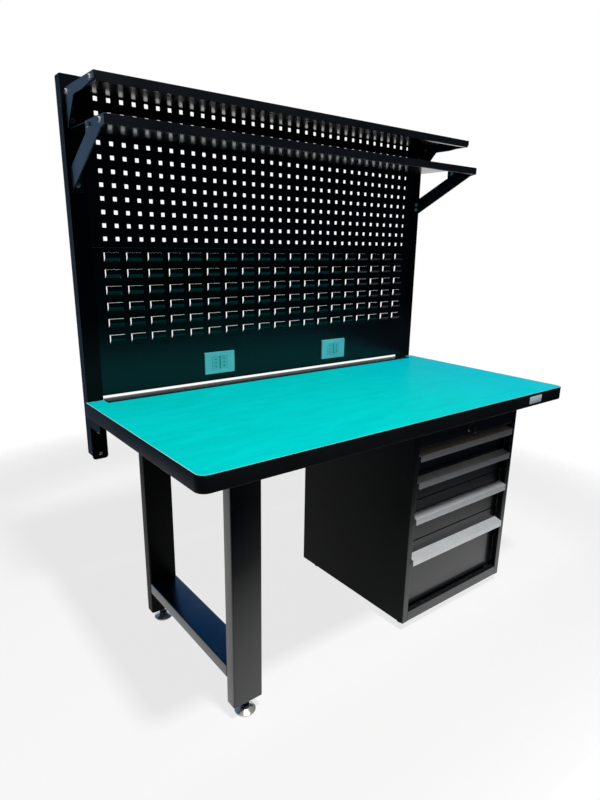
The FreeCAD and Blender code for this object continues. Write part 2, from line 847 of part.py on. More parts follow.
# Central lock
def lock_pieces():
    """Lock barrel in the header, the plug that turns in it and the key in the plug."""
    rim = dim.lock_rim_diameter / 2
    barrel = dim.lock_barrel_diameter / 2
    bore = dim.plug_diameter / 2 + dim.lock_fit
    outline = [
        (bore, -dim.lock_rim),
        (rim - dim.lock_rim / 2, -dim.lock_rim),
        (rim, -dim.lock_rim / 2),
        (rim, NOUGHT),
        (barrel, NOUGHT),
        (barrel, dim.lock_barrel),
        (bore, dim.lock_barrel),
    ]
    node("lock_body", place(turned("lock_barrel_body", "XY_Plane", outline), *lock_place))
    x, y, z = lock_place
    plug = rod(
        "plug_round",
        "y",
        dim.plug_diameter,
        (x, y - dim.lock_rim, z),
        dim.lock_rim + dim.lock_barrel + dim.plug_tail,
    )
    slot = dim.key_thickness / 2 + dim.hole_fit
    blade = dim.key_blade / 2
    keyway = block(
        "keyway",
        (x - slot, x + slot),
        (y - dim.lock_rim, y - dim.lock_rim + dim.key_reach),
        (z - blade - dim.hole_fit, z + blade + dim.hole_fit),
    )
    node("lock_plug", cut("plug", plug, [keyway]))
    shoulder = y - dim.lock_rim - dim.hole_fit
    bow_end = shoulder - dim.key_bow
    bow = dim.key_bow / 2
    corner = dim.key_bow / 4
    key_outline = [
        (y - dim.lock_rim + dim.key_reach - dim.hole_fit, z - blade / 2),
        (y - dim.lock_rim + dim.key_reach - blade, z - blade),
        (shoulder, z - blade),
        (shoulder, z - bow + corner),
        (shoulder - corner, z - bow),
        (bow_end + corner, z - bow),
        (bow_end, z - bow + corner),
        (bow_end, z + bow - corner),
        (bow_end + corner, z + bow),
        (shoulder - corner, z + bow),
        (shoulder, z + bow - corner),
        (shoulder, z + blade),
        (y - dim.lock_rim + dim.key_reach - dim.hole_fit, z + blade),
    ]
    key_hole = ((bow_end + dim.key_hole, z), dim.key_hole)
    half = dim.key_thickness / 2
    node("lock_key", plate("key_blank", "YZ_Plane", key_outline, x - half, x + half, [key_hole]))


lock_pieces()


def lock_cam():
    """A disc on the plug's tail with the pin that lifts the lock bar."""
    x, y, z = lock_place
    tail = y + dim.lock_barrel + dim.plug_tail
    disc = dim.cam_throw * 2 + dim.cam_pin + dim.cam_rim
    cam = rod("cam_disc", "y", disc, (x, tail - dim.cam_thickness, z), dim.cam_thickness)
    seat = rod("cam_seat", "y", dim.plug_diameter, (x, tail - dim.cam_thickness, z), dim.cam_thickness)
    pin = rod(
        "cam_pin",
        "y",
        dim.cam_pin,
        (x - dim.cam_throw, tail - dim.cam_thickness, z),
        bar_y[1] - tail + dim.cam_thickness + dim.slide_gap,
    )
    node("lock_cam", cut("cam", fuse("cam_with_pin", [cam, pin]), [seat]))


lock_cam()


def lock_bar():
    """An arm behind the header and a leg behind the right stile, with one tab per drawer."""
    x, y, z = lock_place
    half = dim.bar_width / 2
    slot_low = dim.cam_pin / 2 + dim.slide_gap
    slot_x = (x - dim.cam_throw - slot_low, x + slot_low)
    slot_z = (z - slot_low, z + slot_low + dim.bar_slack)
    arm_z = (slot_z[0] - half, slot_z[1] + half)
    leg_x = cabinet_x_span(RIGHT, bar_near, bar_far)
    arm_start = slot_x[0] - half
    leg_end = drawer_bottoms[4] + dim.tab_rise
    outline = [(arm_start, arm_z[0]), (arm_start, arm_z[1]), (leg_x[1], arm_z[1]), (leg_x[1], leg_end)]
    tab_near = leg_x[0] - dim.tab_reach
    for number in reversed(DRAWERS):
        low = drawer_bottoms[number] + dim.tab_rise
        high = low + dim.tab_height
        if number != 4:
            outline.append((leg_x[0], low))
        outline += [(tab_near, low), (tab_near, high), (leg_x[0], high)]
    outline.append((leg_x[0], arm_z[0]))
    window = rectangle(slot_x, slot_z)
    bar = plate("lock_bar_sheet", "XZ_Plane", outline, -bar_y[1], -bar_y[0], windows=[window])
    node("lock_bar", bar)


lock_bar()


# Uprights, panels and the low rail behind the worktop
bracket_y = (back - dim.bracket_plate, back)
bracket_outer = upright_outer - dim.bracket_inset
flange_middle = bracket_outer - dim.bracket_flange / 2
gusset_top = upper_shelf_top - dim.shelf_lip - dim.shelf_sheet
gusset_bottom = lower_shelf_top + dim.gusset_gap
strut_foot_top = lower_shelf_top - dim.strut_foot_top
strut_foot_bottom = strut_foot_top - dim.strut_foot
bench_flange_bottom = upright_bottom - dim.bench_bracket_drop
bench_flange_top = worktop_under - dim.bracket_plate
upright_bolt_heights = [
    gusset_bottom + dim.edge_margin,
    gusset_top - dim.edge_margin,
    strut_foot_bottom + dim.edge_margin,
    strut_foot_top - dim.edge_margin,
]
bench_bolt_heights = [
    bench_flange_bottom + dim.edge_margin,
    worktop_under - dim.bench_bracket_gusset - dim.edge_margin,
]
bench_bolt_middle = upright_outer - dim.upright_width / 2
panel_bolt_y = back + dim.panel_fold / 2
panel_spans = {
    "pegboard_panel": (louvre_panel_top, upright_top),
    "louvre_panel": (socket_panel_top, louvre_panel_top),
    "socket_panel": (socket_panel_bottom, socket_panel_top),
}


def panel_bolt_heights(label):
    """Two bolts in each end of a panel, and one between them in the tall one."""
    low, high = panel_spans[label]
    heights = [low + dim.panel_bolt_margin, high - dim.panel_bolt_margin]
    if label == "pegboard_panel":
        heights.append((low + high) / 2)
    return heights


bolt_hole = dim.bolt_diameter + 2 * dim.hole_fit
panel_bolt_hole = dim.panel_bolt_diameter + 2 * dim.hole_fit


def upright(side):
    """A channel post, open to the rear, drilled for brackets and panels."""
    name = f"{side_name(side)}_upright"
    wall = dim.upright_wall
    rear = back + dim.upright_depth
    channel = [
        (upright_inner, back),
        (upright_outer, back),
        (upright_outer, rear),
        (upright_outer - wall, rear),
        (upright_outer - wall, back + wall),
        (upright_inner + wall, back + wall),
        (upright_inner + wall, rear),
        (upright_inner, rear),
    ]
    outline = [(side * x, y) for x, y in channel]
    post = plate(name + "_channel", "XY_Plane", outline, upright_bottom, upright_top)
    drills = [
        rod(f"{name}_hole_{i}", "y", bolt_hole, (side * x, back, z), wall)
        for i, (x, z) in enumerate(
            [(flange_middle, z) for z in upright_bolt_heights]
            + [(bench_bolt_middle, z) for z in bench_bolt_heights]
        )
    ]
    start = mirrored(side, upright_inner, upright_inner + wall)[0]
    for label in panel_spans:
        for i, z in enumerate(panel_bolt_heights(label)):
            hole = rod(f"{name}_{label}_{i}", "x", panel_bolt_hole, (start, panel_bolt_y, z), wall)
            drills.append(hole)
    node(name, cut(name + "_drilled", post, drills))


for side in SIDES:
    upright(side)


def panel_folds(label):
    """The four folds round a panel's sheet; the end folds are drilled for bolts."""
    low, high = panel_spans[label]
    skin = dim.panel_sheet
    y = (back + skin, back + dim.panel_fold)
    inner = upright_inner - skin
    for side in SIDES:
        name = f"{label}_{side_name(side)}_fold"
        x = mirrored(side, inner, upright_inner)
        drills = [
            rod(f"{name}_hole_{i}", "x", panel_bolt_hole, (x[0], panel_bolt_y, z), skin)
            for i, z in enumerate(panel_bolt_heights(label))
        ]
        yield cut(name + "_drilled", block(name, x, y, (low, high)), drills)
    x = (-inner, inner)
    yield block(label + "_top_fold", x, y, (high - skin, high))
    yield block(label + "_bottom_fold", x, y, (low, low + skin))


def pierced_sheet(label, openings):
    """A flat sheet, facing the front, with rectangular openings in it."""
    low, high = (float(z) for z in panel_spans[label])
    front_y = float(back)

    def loop(x_span, z_span):
        corners = [VECTOR(x, front_y, z) for x, z in rectangle(x_span, z_span)]
        return Part.makePolygon(corners + corners[:1])

    edge = float(upright_inner)
    outer = loop((-edge, edge), (low, high))
    face = Part.makeFace([outer] + [loop(*opening) for opening in openings], "Part::FaceMakerBullseye")
    return face.extrude(VECTOR(0, float(dim.panel_sheet), 0))


def pegboard_openings():
    """Square holes on one pitch, centred across the panel and hung from its top."""
    half = float(dim.peg_hole) / 2
    pitch = float(dim.peg_pitch)
    top = float(upright_top - dim.peg_top_margin)
    for column in range(count.peg_columns):
        x = (column - (count.peg_columns - 1) / 2) * pitch
        for row in range(count.peg_rows):
            z = top - row * pitch
            yield (x - half, x + half), (z - half, z + half)


def louvre_openings():
    """The openings that the louvre tongues are pressed out of."""
    half = float(dim.louvre_width) / 2
    top = float(louvre_panel_top - dim.louvre_top_margin)
    for column in range(count.louvre_columns):
        x = (column - (count.louvre_columns - 1) / 2) * float(dim.louvre_pitch_across)
        for row in range(count.louvre_rows):
            z = top - row * float(dim.louvre_pitch_down)
            yield (x - half, x + half), (z - float(dim.louvre_height), z)


def louvre_tongue(x_span, z_span):
    """A tongue joined to the sheet along its bottom and leaning out at its top."""
    skin = float(dim.panel_sheet)
    lift = float(dim.louvre_lift)
    slit = float(dim.louvre_slit)
    front_y = float(back)
    low, high = z_span[0], z_span[1] - slit
    x = x_span[0] + slit
    profile = [
        VECTOR(x, front_y, low),
        VECTOR(x, front_y - lift, high),
        VECTOR(x, front_y - lift + skin, high),
        VECTOR(x, front_y + skin, low),
    ]
    face = Part.Face(Part.makePolygon(profile + profile[:1]))
    return face.extrude(VECTOR(x_span[1] - x_span[0] - 2 * slit, 0, 0))


peg_sheet = solid_feature("peg_sheet", pierced_sheet("pegboard_panel", list(pegboard_openings())))
node("pegboard_panel", fuse("pegboard", [peg_sheet, *panel_folds("pegboard_panel")]))

louvres = list(louvre_openings())
louvre_sheet = pierced_sheet("louvre_panel", louvres)
louvre_sheet = louvre_sheet.multiFuse([louvre_tongue(*opening) for opening in louvres])
louvre_feature = solid_feature("louvre_sheet", louvre_sheet)
node("louvre_panel", fuse("louvre", [louvre_feature, *panel_folds("louvre_panel")]))

socket_z = socket_panel_bottom + dim.socket_rise
socket_middles = {side: side * dim.socket_spacing / 2 for side in SIDES}


def centred(middle, width):
    """An interval of one width about a middle."""
    return (middle - width / 2, middle + width / 2)


plain_sheet = solid_feature("plain_sheet", pierced_sheet("socket_panel", []))
modules_width = dim.socket_module_spacing + dim.socket_module_width
socket_windows = [
    block(
        f"socket_window_{side_name(side)}",
        centred(middle, modules_width + 2 * dim.socket_fit),
        (back, back + dim.panel_sheet),
        centred(socket_z, dim.socket_module_height + 2 * dim.socket_fit),
    )
    for side, middle in socket_middles.items()
]
blank_panel = fuse("blank_panel", [plain_sheet, *panel_folds("socket_panel")])
node("socket_panel", cut("socket_panel_cut", blank_panel, socket_windows))

rail_y = (back - dim.rail_depth, back)
rail_top = dim.worktop_height + dim.rail_height
rail_wall = dim.rail_wall
rail_outline = [
    (rail_y[0], dim.worktop_height),
    (rail_y[0], rail_top),
    (rail_y[1], rail_top),
    (rail_y[1], dim.worktop_height),
    (rail_y[1] - rail_wall, dim.worktop_height),
    (rail_y[1] - rail_wall, rail_top - rail_wall),
    (rail_y[0] + rail_wall, rail_top - rail_wall),
    (rail_y[0] + rail_wall, dim.worktop_height),
]
node("rear_rail", plate("rail_channel", "YZ_Plane", rail_outline, -upright_inner, upright_inner))


# Socket units
def socket_unit(side):
    """Cover plate, two socket modules and the box behind the panel."""
    name = f"socket_{side_name(side)}"
    middle = socket_middles[side]
    plate_y = (back - dim.socket_plate_depth, back)
    cover = block(
        name + "_cover",
        centred(middle, dim.socket_plate_width),
        plate_y,
        centred(socket_z, dim.socket_plate_height),
    )
    window = block(
        name + "_cover_window",
        centred(middle, modules_width + 2 * dim.socket_fit),
        plate_y,
        centred(socket_z, dim.socket_module_height + 2 * dim.socket_fit),
    )
    modules = []
    for place_side in SIDES:
        module_x = middle + place_side * dim.socket_module_spacing / 2
        module = f"{name}_module_{side_name(place_side)}"
        start = plate_y[0]
        body = block(
            module,
            centred(module_x, dim.socket_module_width),
            (start, start + dim.socket_module_depth),
            centred(socket_z, dim.socket_module_height),
        )
        pins = [
            rod(
                f"{module}_pin_{i}",
                "y",
                dim.socket_pin_hole,
                (module_x, start, socket_z + (i - (count.socket_pins - 1) / 2) * dim.socket_pin_spacing),
                dim.socket_pin_depth,
            )
            for i in range(count.socket_pins)
        ]
        modules.append(cut(module + "_drilled", body, pins))
    box_y = (back + dim.panel_sheet, back + dim.panel_sheet + dim.socket_box_depth)
    wall = dim.socket_box_wall
    shell = block(
        name + "_box",
        centred(middle, dim.socket_box_width),
        box_y,
        centred(socket_z, dim.socket_box_height),
    )
    hollow = block(
        name + "_box_hollow",
        centred(middle, dim.socket_box_width - 2 * wall),
        (box_y[0], box_y[1] - wall),
        centred(socket_z, dim.socket_box_height - 2 * wall),
    )
    cable_hole = rod(
        name + "_cable_hole",
        "z",
        dim.socket_cable_hole,
        (middle, (box_y[0] + box_y[1]) / 2, socket_z - dim.socket_box_height / 2),
        wall,
    )
    box = cut(name + "_box_open", shell, [hollow, cable_hole])
    return cut(name + "_cover_open", cover, [window]), modules, box


socket_units = [socket_unit(side) for side in SIDES]
node("socket_plates", together("covers", [unit[0] for unit in socket_units]))
node("socket_modules", together("modules", [module for unit in socket_units for module in unit[1]]))
node("socket_boxes", together("boxes", [unit[2] for unit in socket_units]))


# Shelves and their brackets
shelf_half = bracket_outer - dim.bracket_plate


def shelf_bolt_places(height, rear, shelf_front):
    """The two bolts through each end of a shelf, as places along Y and Z."""
    z = height - dim.shelf_sheet - (dim.shelf_lip - dim.shelf_sheet) / 2
    return [(rear, z), (shelf_front + dim.shelf_bolt_front, z)]


def shelf(name, height, depth, fold_end, bolts):
    """A shelf with a folded front lip, and end folds as far back as its brackets need."""
    x = (-shelf_half, shelf_half)
    y = (back - depth, back)
    z = (height - dim.shelf_lip, height)
    skin = dim.shelf_sheet
    blank = block(name + "_blank", x, y, z)
    hollow = block(
        name + "_hollow",
        (skin - shelf_half, shelf_half - skin),
        (y[0] + skin, y[1]),
        (z[0], z[1] - skin),
    )
    relief = block(name + "_relief", x, (fold_end, y[1]), (z[0], z[1] - skin))
    drills = [
        rod(f"{name}_hole_{i}", "x", bolt_hole, (-shelf_half, bolt_y, bolt_z), shelf_half * 2)
        for i, (bolt_y, bolt_z) in enumerate(bolts)
    ]
    pan = cut(name + "_pan", blank, [hollow, relief, *drills])
    lip_x = (skin - shelf_half, shelf_half - skin)
    lip = block(name + "_lip", lip_x, (y[0] + skin, y[0] + dim.shelf_lip_return), (z[0], z[0] + skin))
    node(name, fuse(name + "_folded", [pan, lip]))


def bracket(name, side, outline, bolts, flange_z, bolt_heights):
    """A flat bracket plate at a shelf end, folded to a flange on the upright's face."""
    x = mirrored(side, shelf_half, bracket_outer)
    holes = [(place_yz, bolt_hole) for place_yz in bolts]
    web = plate(f"{name}_{side_name(side)}_web", "YZ_Plane", outline, *x, holes=holes)
    flange_x = mirrored(side, bracket_outer - dim.bracket_flange, shelf_half)
    flange = block(f"{name}_{side_name(side)}_flange", flange_x, bracket_y, flange_z)
    drills = [
        rod(
            f"{name}_{side_name(side)}_hole_{i}",
            "y",
            bolt_hole,
            (side * flange_middle, bracket_y[0], z),
            dim.bracket_plate,
        )
        for i, z in enumerate(bolt_heights)
    ]
    drilled = cut(f"{name}_{side_name(side)}_drilled", flange, drills)
    return fuse(f"{name}_{side_name(side)}", [web, drilled])


upper_front = back - dim.upper_shelf_depth
lower_front = back - dim.lower_shelf_depth
upper_bolts = shelf_bolt_places(upper_shelf_top, back - dim.shelf_bolt_rear, upper_front)
head_rear = lower_front + dim.strut_head
lower_bolts = shelf_bolt_places(lower_shelf_top, head_rear - dim.shelf_bolt_front, lower_front)
shelf("upper_shelf", upper_shelf_top, dim.upper_shelf_depth, bracket_y[0], upper_bolts)
shelf("lower_shelf", lower_shelf_top, dim.lower_shelf_depth, head_rear, lower_bolts)

arm_under = upper_shelf_top - dim.arm_height
gusset_outline = [
    (back, upper_shelf_top),
    (upper_front, upper_shelf_top),
    (upper_front, upper_shelf_top - dim.arm_nose),
    (upper_front + dim.arm_taper, arm_under),
    (back - dim.gusset_width - dim.gusset_toe, arm_under),
    (back - dim.gusset_width, arm_under - dim.gusset_toe),
    (back - dim.gusset_toe, gusset_bottom),
    (back, gusset_bottom),
]
head_under = lower_shelf_top - dim.strut_head_height
strut_outline = [
    (lower_front, lower_shelf_top),
    (head_rear, lower_shelf_top),
    (head_rear, head_under),
    (back, strut_foot_top),
    (back, strut_foot_bottom),
    (lower_front + dim.strut_nose, head_under),
    (lower_front, lower_shelf_top - dim.shelf_lip),
]
upper_brackets = [
    bracket(
        "gusset", side, gusset_outline, upper_bolts, (gusset_bottom, gusset_top), upright_bolt_heights[:2]
    )
    for side in SIDES
]
lower_brackets = [
    bracket(
        "strut",
        side,
        strut_outline,
        lower_bolts,
        (strut_foot_bottom, strut_foot_top),
        upright_bolt_heights[2:],
    )
    for side in SIDES
]
node("upper_shelf_brackets", together("upper_bracket_pair", upper_brackets))
node("lower_shelf_brackets", together("lower_bracket_pair", lower_brackets))


def bench_bracket(side):
    """A knee bracket under the worktop: flange on the upright, ledge and end gusset."""
    name = f"bench_{side_name(side)}"
    x = mirrored(side, upright_inner, upright_outer)
    flange_outline = rectangle(x, (bench_flange_bottom, bench_flange_top))
    holes = [((side * bench_bolt_middle, z), bolt_hole) for z in bench_bolt_heights]
    flange = plate(name + "_flange", "XZ_Plane", flange_outline, -back, dim.bracket_plate - back, holes)
    lowest_bolt = float(bench_bolt_heights[0])

    def bottom_corner(edge):
        return along(VECTOR(0, 1, 0))(edge) and edge.BoundBox.ZMax < lowest_bolt

    round_corners(flange, dim.bench_bracket_corner, bottom_corner)
    reach = (back - dim.bench_bracket_reach, back)
    ledge = block(name + "_ledge", x, reach, (bench_flange_top, worktop_under))
    middle = (side * bench_bolt_middle, reach[0] + dim.edge_margin, bench_flange_top)
    screw_hole = rod(name + "_screw_hole", "z", clearance_hole, middle, dim.bracket_plate)
    gusset_x = mirrored(side, upright_outer - dim.bracket_plate, upright_outer)
    gusset_z = (worktop_under - dim.bench_bracket_gusset, bench_flange_top)
    gusset = block(name + "_gusset", gusset_x, reach, gusset_z)
    return cut(name, fuse(name + "_folded", [flange, ledge, gusset]), [screw_hole])


node("bench_brackets", together("bench_bracket_pair", [bench_bracket(side) for side in SIDES]))


# Fasteners: each kind is made once along +Z and copied to its places
def hexagon(width, height, start):
    """A hexagonal prism along +Z."""
    corners = Part.makeCircle(width * HEX_CORNER).discretize(HEX_SIDES + 1)
    prism = Part.Face(Part.makePolygon(corners)).extrude(VECTOR(0, 0, height))
    prism.translate(VECTOR(0, 0, start))
    return prism


def bolt(diameter, head_width, head, nut, grip):
    """A hexagon bolt with its nut run down on a grip that starts at zero."""
    length = grip + nut + float(dim.bolt_tail)
    shank = Part.makeCylinder(diameter / 2, length)
    ends = [hexagon(head_width, head, -head), hexagon(head_width, nut, grip)]
    return shank.multiFuse(ends).removeSplitter()


def frame_bolt(grip):
    return bolt(
        float(dim.bolt_diameter),
        float(dim.bolt_head_width),
        float(dim.bolt_head),
        float(dim.bolt_nut),
        grip,
    )


def copied(shape, direction, position):
    """A copy of a fastener that points along a direction from a position."""
    copy = shape.copy()
    turn = FreeCAD.Rotation(VECTOR(0, 0, 1), direction)
    copy.Placement = FreeCAD.Placement(VECTOR(*(float(p) for p in position)), turn)
    return copy


inward = {LEFT: VECTOR(1, 0, 0), RIGHT: VECTOR(-1, 0, 0)}
outward = {LEFT: VECTOR(-1, 0, 0), RIGHT: VECTOR(1, 0, 0)}
backward = VECTOR(0, 1, 0)
upward = VECTOR(0, 0, 1)
shelf_bolt = frame_bolt(float(dim.bracket_plate + dim.shelf_sheet))
post_bolt = frame_bolt(float(dim.bracket_plate + dim.upright_wall))
panel_bolt = bolt(
    float(dim.panel_bolt_diameter),
    float(dim.panel_bolt_head_width),
    float(dim.panel_bolt_head),
    float(dim.panel_bolt_nut),
    float(dim.panel_sheet + dim.upright_wall),
)
shelf_fixings, panel_fixings = [], []
for side in SIDES:
    for bolt_y, bolt_z in upper_bolts + lower_bolts:
        shelf_fixings.append(copied(shelf_bolt, inward[side], (side * bracket_outer, bolt_y, bolt_z)))
    for z in upright_bolt_heights:
        shelf_fixings.append(copied(post_bolt, backward, (side * flange_middle, bracket_y[0], z)))
    for z in bench_bolt_heights:
        panel_fixings.append(copied(post_bolt, backward, (side * bench_bolt_middle, bracket_y[0], z)))
    for label in panel_spans:
        for z in panel_bolt_heights(label):
            head_x = side * (upright_inner - dim.panel_sheet)
            panel_fixings.append(copied(panel_bolt, outward[side], (head_x, panel_bolt_y, z)))
node("shelf_bolts", solid_feature("shelf_bolt_set", Part.makeCompound(shelf_fixings)))
node("panel_bolts", solid_feature("panel_bolt_set", Part.makeCompound(panel_fixings)))


def wood_screw(grip):
    """A pan-head screw along +Z whose head is under the grip."""
    radius = float(dim.screw_diameter) / 2
    shank = Part.makeCylinder(radius, grip + float(dim.screw_bite) - float(dim.screw_fit))
    head = Part.makeCone(radius, float(dim.screw_head_diameter) / 2, float(dim.screw_head))
    head.translate(VECTOR(0, 0, -float(dim.screw_head)))
    return shank.fuse(head).removeSplitter()


worktop_screws = [
    copied(wood_screw(float(grip)), upward, (x, y, worktop_under - grip)) for x, y, grip in screw_seats
]
node("worktop_screws", solid_feature("worktop_screw_set", Part.makeCompound(worktop_screws)))

doc.recompute()


def check_and_write():
    """Stops on any failed object, then writes one file for each node."""
    failed = [o.Name for o in doc.Objects if {"Invalid", "Error"} & set(o.State)]
    for label, piece in nodes.items():
        shape = piece.Shape
        if shape.isNull() or not shape.isValid() or not shape.Solids:
            failed.append(label)
    if failed:
        raise RuntimeError("failed objects: " + ", ".join(failed))
    os.makedirs("parts", exist_ok=True)
    for label, piece in nodes.items():
        piece.Shape.exportStep(f"parts/{label}.step")
        box = piece.Shape.BoundBox
        solids = len(piece.Shape.Solids)
        print(f"{label}: {solids} solid(s), {box.XLength:.1f} x {box.YLength:.1f} x {box.ZLength:.1f}")
    print(f"{len(nodes)} nodes written")


check_and_write()
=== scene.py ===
# %% [markdown]
# # A steel workbench with a tool panel
# The real bench is folded and welded steel in black powder coat, with a teal laminated
# worktop, four drawers and a tall back panel. The CAD part already fixes every size and
# every joint, so this script only dresses it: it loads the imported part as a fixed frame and
# hangs finished pieces on its bodies.

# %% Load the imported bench
import json
import math

import bmesh
import bpy
from mathutils import Euler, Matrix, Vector

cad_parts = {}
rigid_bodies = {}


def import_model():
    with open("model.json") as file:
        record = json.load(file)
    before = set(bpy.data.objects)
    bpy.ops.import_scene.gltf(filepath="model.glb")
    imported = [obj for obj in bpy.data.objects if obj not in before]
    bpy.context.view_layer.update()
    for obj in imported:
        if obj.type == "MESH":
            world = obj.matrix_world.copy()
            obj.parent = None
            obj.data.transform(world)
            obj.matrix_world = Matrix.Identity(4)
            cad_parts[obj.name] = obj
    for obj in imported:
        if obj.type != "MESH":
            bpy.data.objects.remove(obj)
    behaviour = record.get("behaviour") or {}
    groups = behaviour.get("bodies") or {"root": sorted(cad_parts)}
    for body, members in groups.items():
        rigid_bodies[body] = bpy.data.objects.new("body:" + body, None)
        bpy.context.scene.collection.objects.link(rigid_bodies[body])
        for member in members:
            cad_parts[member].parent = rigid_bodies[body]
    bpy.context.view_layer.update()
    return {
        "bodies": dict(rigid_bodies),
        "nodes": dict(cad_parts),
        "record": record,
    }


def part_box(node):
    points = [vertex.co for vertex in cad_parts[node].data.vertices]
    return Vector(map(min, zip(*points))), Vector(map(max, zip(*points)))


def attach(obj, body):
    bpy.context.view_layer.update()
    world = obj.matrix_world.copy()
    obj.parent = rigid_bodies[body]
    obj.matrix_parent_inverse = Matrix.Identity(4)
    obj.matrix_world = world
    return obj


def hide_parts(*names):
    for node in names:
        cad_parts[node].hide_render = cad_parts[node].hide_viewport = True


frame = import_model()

scene = bpy.context.scene
scene.view_settings.view_transform = "Standard"
MM = 0.001
cad = frame["nodes"]
slot_of = {row["node"]: row["material_slot"] for row in frame["record"]["subparts"]}


def body_of(node):
    """The body that carries a CAD node."""
    return next(name for name, empty in frame["bodies"].items() if empty == cad[node].parent)


# %% [markdown]
# ## Camera
# The photograph was taken from the front left, a little above the worktop. The place and the
# turn were solved from the panel's grid of square holes, so the numbers are given as solved.
# The lens follows from the focal length in pixels, and a small shift puts the optical axis
# where it was in the picture.

# %% Camera
PICTURE = (600, 800)
FOCAL_PIXELS = 580.46
AXIS_PIXEL = (301.53, 410.85)
SENSOR_HEIGHT = 36.0
CAMERA_PLACE = (-1.2919, -1.4432, 1.2963)
CAMERA_TURN = (74.023, -0.907, -37.721)

lens = bpy.data.cameras.new("camera")
lens.sensor_fit = "VERTICAL"
lens.sensor_height = SENSOR_HEIGHT
lens.lens = FOCAL_PIXELS * SENSOR_HEIGHT / PICTURE[1]
lens.shift_x = (PICTURE[0] / 2 - AXIS_PIXEL[0]) / PICTURE[1]
lens.shift_y = (AXIS_PIXEL[1] - PICTURE[1] / 2) / PICTURE[1]
camera = bpy.data.objects.new("camera", lens)
camera.location = CAMERA_PLACE
camera.rotation_euler = Euler([math.radians(a) for a in CAMERA_TURN])
scene.collection.objects.link(camera)
scene.camera = camera
print(f"lens {lens.lens:.1f} mm")

# %% [markdown]
# ## Node helpers
# Shader trees and geometry trees are wired in the same way, so one helper adds a node, sets
# its properties and fills its inputs. An input can be a number, another node's socket, or a
# list of sockets where a node takes several. The other helpers stand for the nodes that are
# used most: a mix of two colours, one step of arithmetic and a change of range.


# %% Node helpers
def step(tree, kind, inputs=None, **settings):
    """Adds one node and fills its inputs by name or number."""
    made = tree.nodes.new(kind)
    for key, value in settings.items():
        setattr(made, key, value)
    for key, value in (inputs or {}).items():
        for given in value if isinstance(value, list) else [value]:
            if isinstance(given, bpy.types.NodeSocket):
                tree.links.new(given, made.inputs[key])
            else:
                made.inputs[key].default_value = given
    return made


def blend_colour(tree, factor, under, over):
    """Mixes two colours by a factor."""
    inputs = {0: factor, 6: under, 7: over}
    return step(tree, "ShaderNodeMix", inputs, data_type="RGBA").outputs[2]


def arith(tree, operation, *values):
    """One math node over sockets and numbers."""
    return step(tree, "ShaderNodeMath", dict(enumerate(values)), operation=operation).outputs[0]


def stretch(tree, value, source, target=(0.0, 1.0)):
    """Maps a value from one range to another and clamps it."""
    inputs = {"Value": value, "From Min": source[0], "From Max": source[1]}
    inputs |= {"To Min": target[0], "To Max": target[1]}
    return step(tree, "ShaderNodeMapRange", inputs).outputs["Result"]


def seen_rays(tree):
    """Two values: the ray comes from the camera, and the ray comes by a mirror or glass."""
    ray = step(tree, "ShaderNodeLightPath").outputs
    by_glass = arith(tree, "MAXIMUM", ray["Is Glossy Ray"], ray["Is Transmission Ray"])
    return ray["Is Camera Ray"], by_glass


# %% [markdown]
# ## Studio
# The world gives a faint fill and a white background. Glossy coat also mirrors its
# surroundings, and only rays by mirror or glass see those: a dark room in front, white paper
# behind, and dim blue light at the left and up behind. A picture of a studio could do this too,
# but a few smooth zones are easier to steer. Each zone depends on how far the ray heads towards
# an aim.

# %% World
FILL_LEVEL = 0.05
WHITE = (1, 1, 1, 1)
ROOM_COLOUR = (0.008, 0.012, 0.02, 1)
SIDE_COLOUR = (0.125, 0.23, 0.39, 1)
SIDE_AIM = (-0.6, 0.8, 0.0)
SIDE_EDGE = (0.4, 0.95)
BACKDROP_AIM = (0.616, 0.788, 0.0)
BACKDROP_EDGE = (0.62, 0.88)
SKY_COLOUR = (0.01, 0.19, 0.6, 1)
SKY_EDGE = (0.22, 0.45)

world = bpy.data.worlds.new("studio")
scene.world = world
world.use_nodes = True
sky = world.node_tree
sky.nodes.clear()
heading = step(sky, "ShaderNodeTexCoord").outputs["Generated"]
towards, beside = [
    step(sky, "ShaderNodeVectorMath", {0: heading, 1: aim}, operation="DOT_PRODUCT").outputs[1]
    for aim in (BACKDROP_AIM, SIDE_AIM)
]
rise = step(sky, "ShaderNodeSeparateXYZ", {0: heading}).outputs["Z"]
lifted = arith(sky, "MULTIPLY", arith(sky, "MAXIMUM", rise, 0.0), towards)
mirrored = ROOM_COLOUR
for value, edge, colour in (
    (beside, SIDE_EDGE, SIDE_COLOUR),
    (towards, BACKDROP_EDGE, WHITE),
    (lifted, SKY_EDGE, SKY_COLOUR),
):
    mirrored = blend_colour(sky, stretch(sky, value, edge), mirrored, colour)
by_camera, by_glass = seen_rays(sky)
fill, room, paper = [
    step(sky, "ShaderNodeBackground", {"Color": colour, "Strength": strength}).outputs[0]
    for colour, strength in ((WHITE, FILL_LEVEL), (mirrored, 1.0), (WHITE, 1.0))
]
lit = step(sky, "ShaderNodeMixShader", {0: by_glass, 1: fill, 2: room}).outputs[0]
shown = step(sky, "ShaderNodeMixShader", {0: by_camera, 1: lit, 2: paper}).outputs[0]
step(sky, "ShaderNodeOutputWorld", {"Surface": shown})
print(f"world with a fill of {FILL_LEVEL}")

# %% [markdown]
# ### Lamp
# One small lamp stands high in front like a sun, so the worktop shades the upper drawers and
# the shelves shade the panel, as in the photograph.

# %% Lamp
LAMP_PLACE = Vector((-0.4, -1.75, 5.2))
LAMP_AIM = Vector((0.0, -0.2, 0.4))
LAMP_WATTS = 240
LAMP_SIZE = 0.45

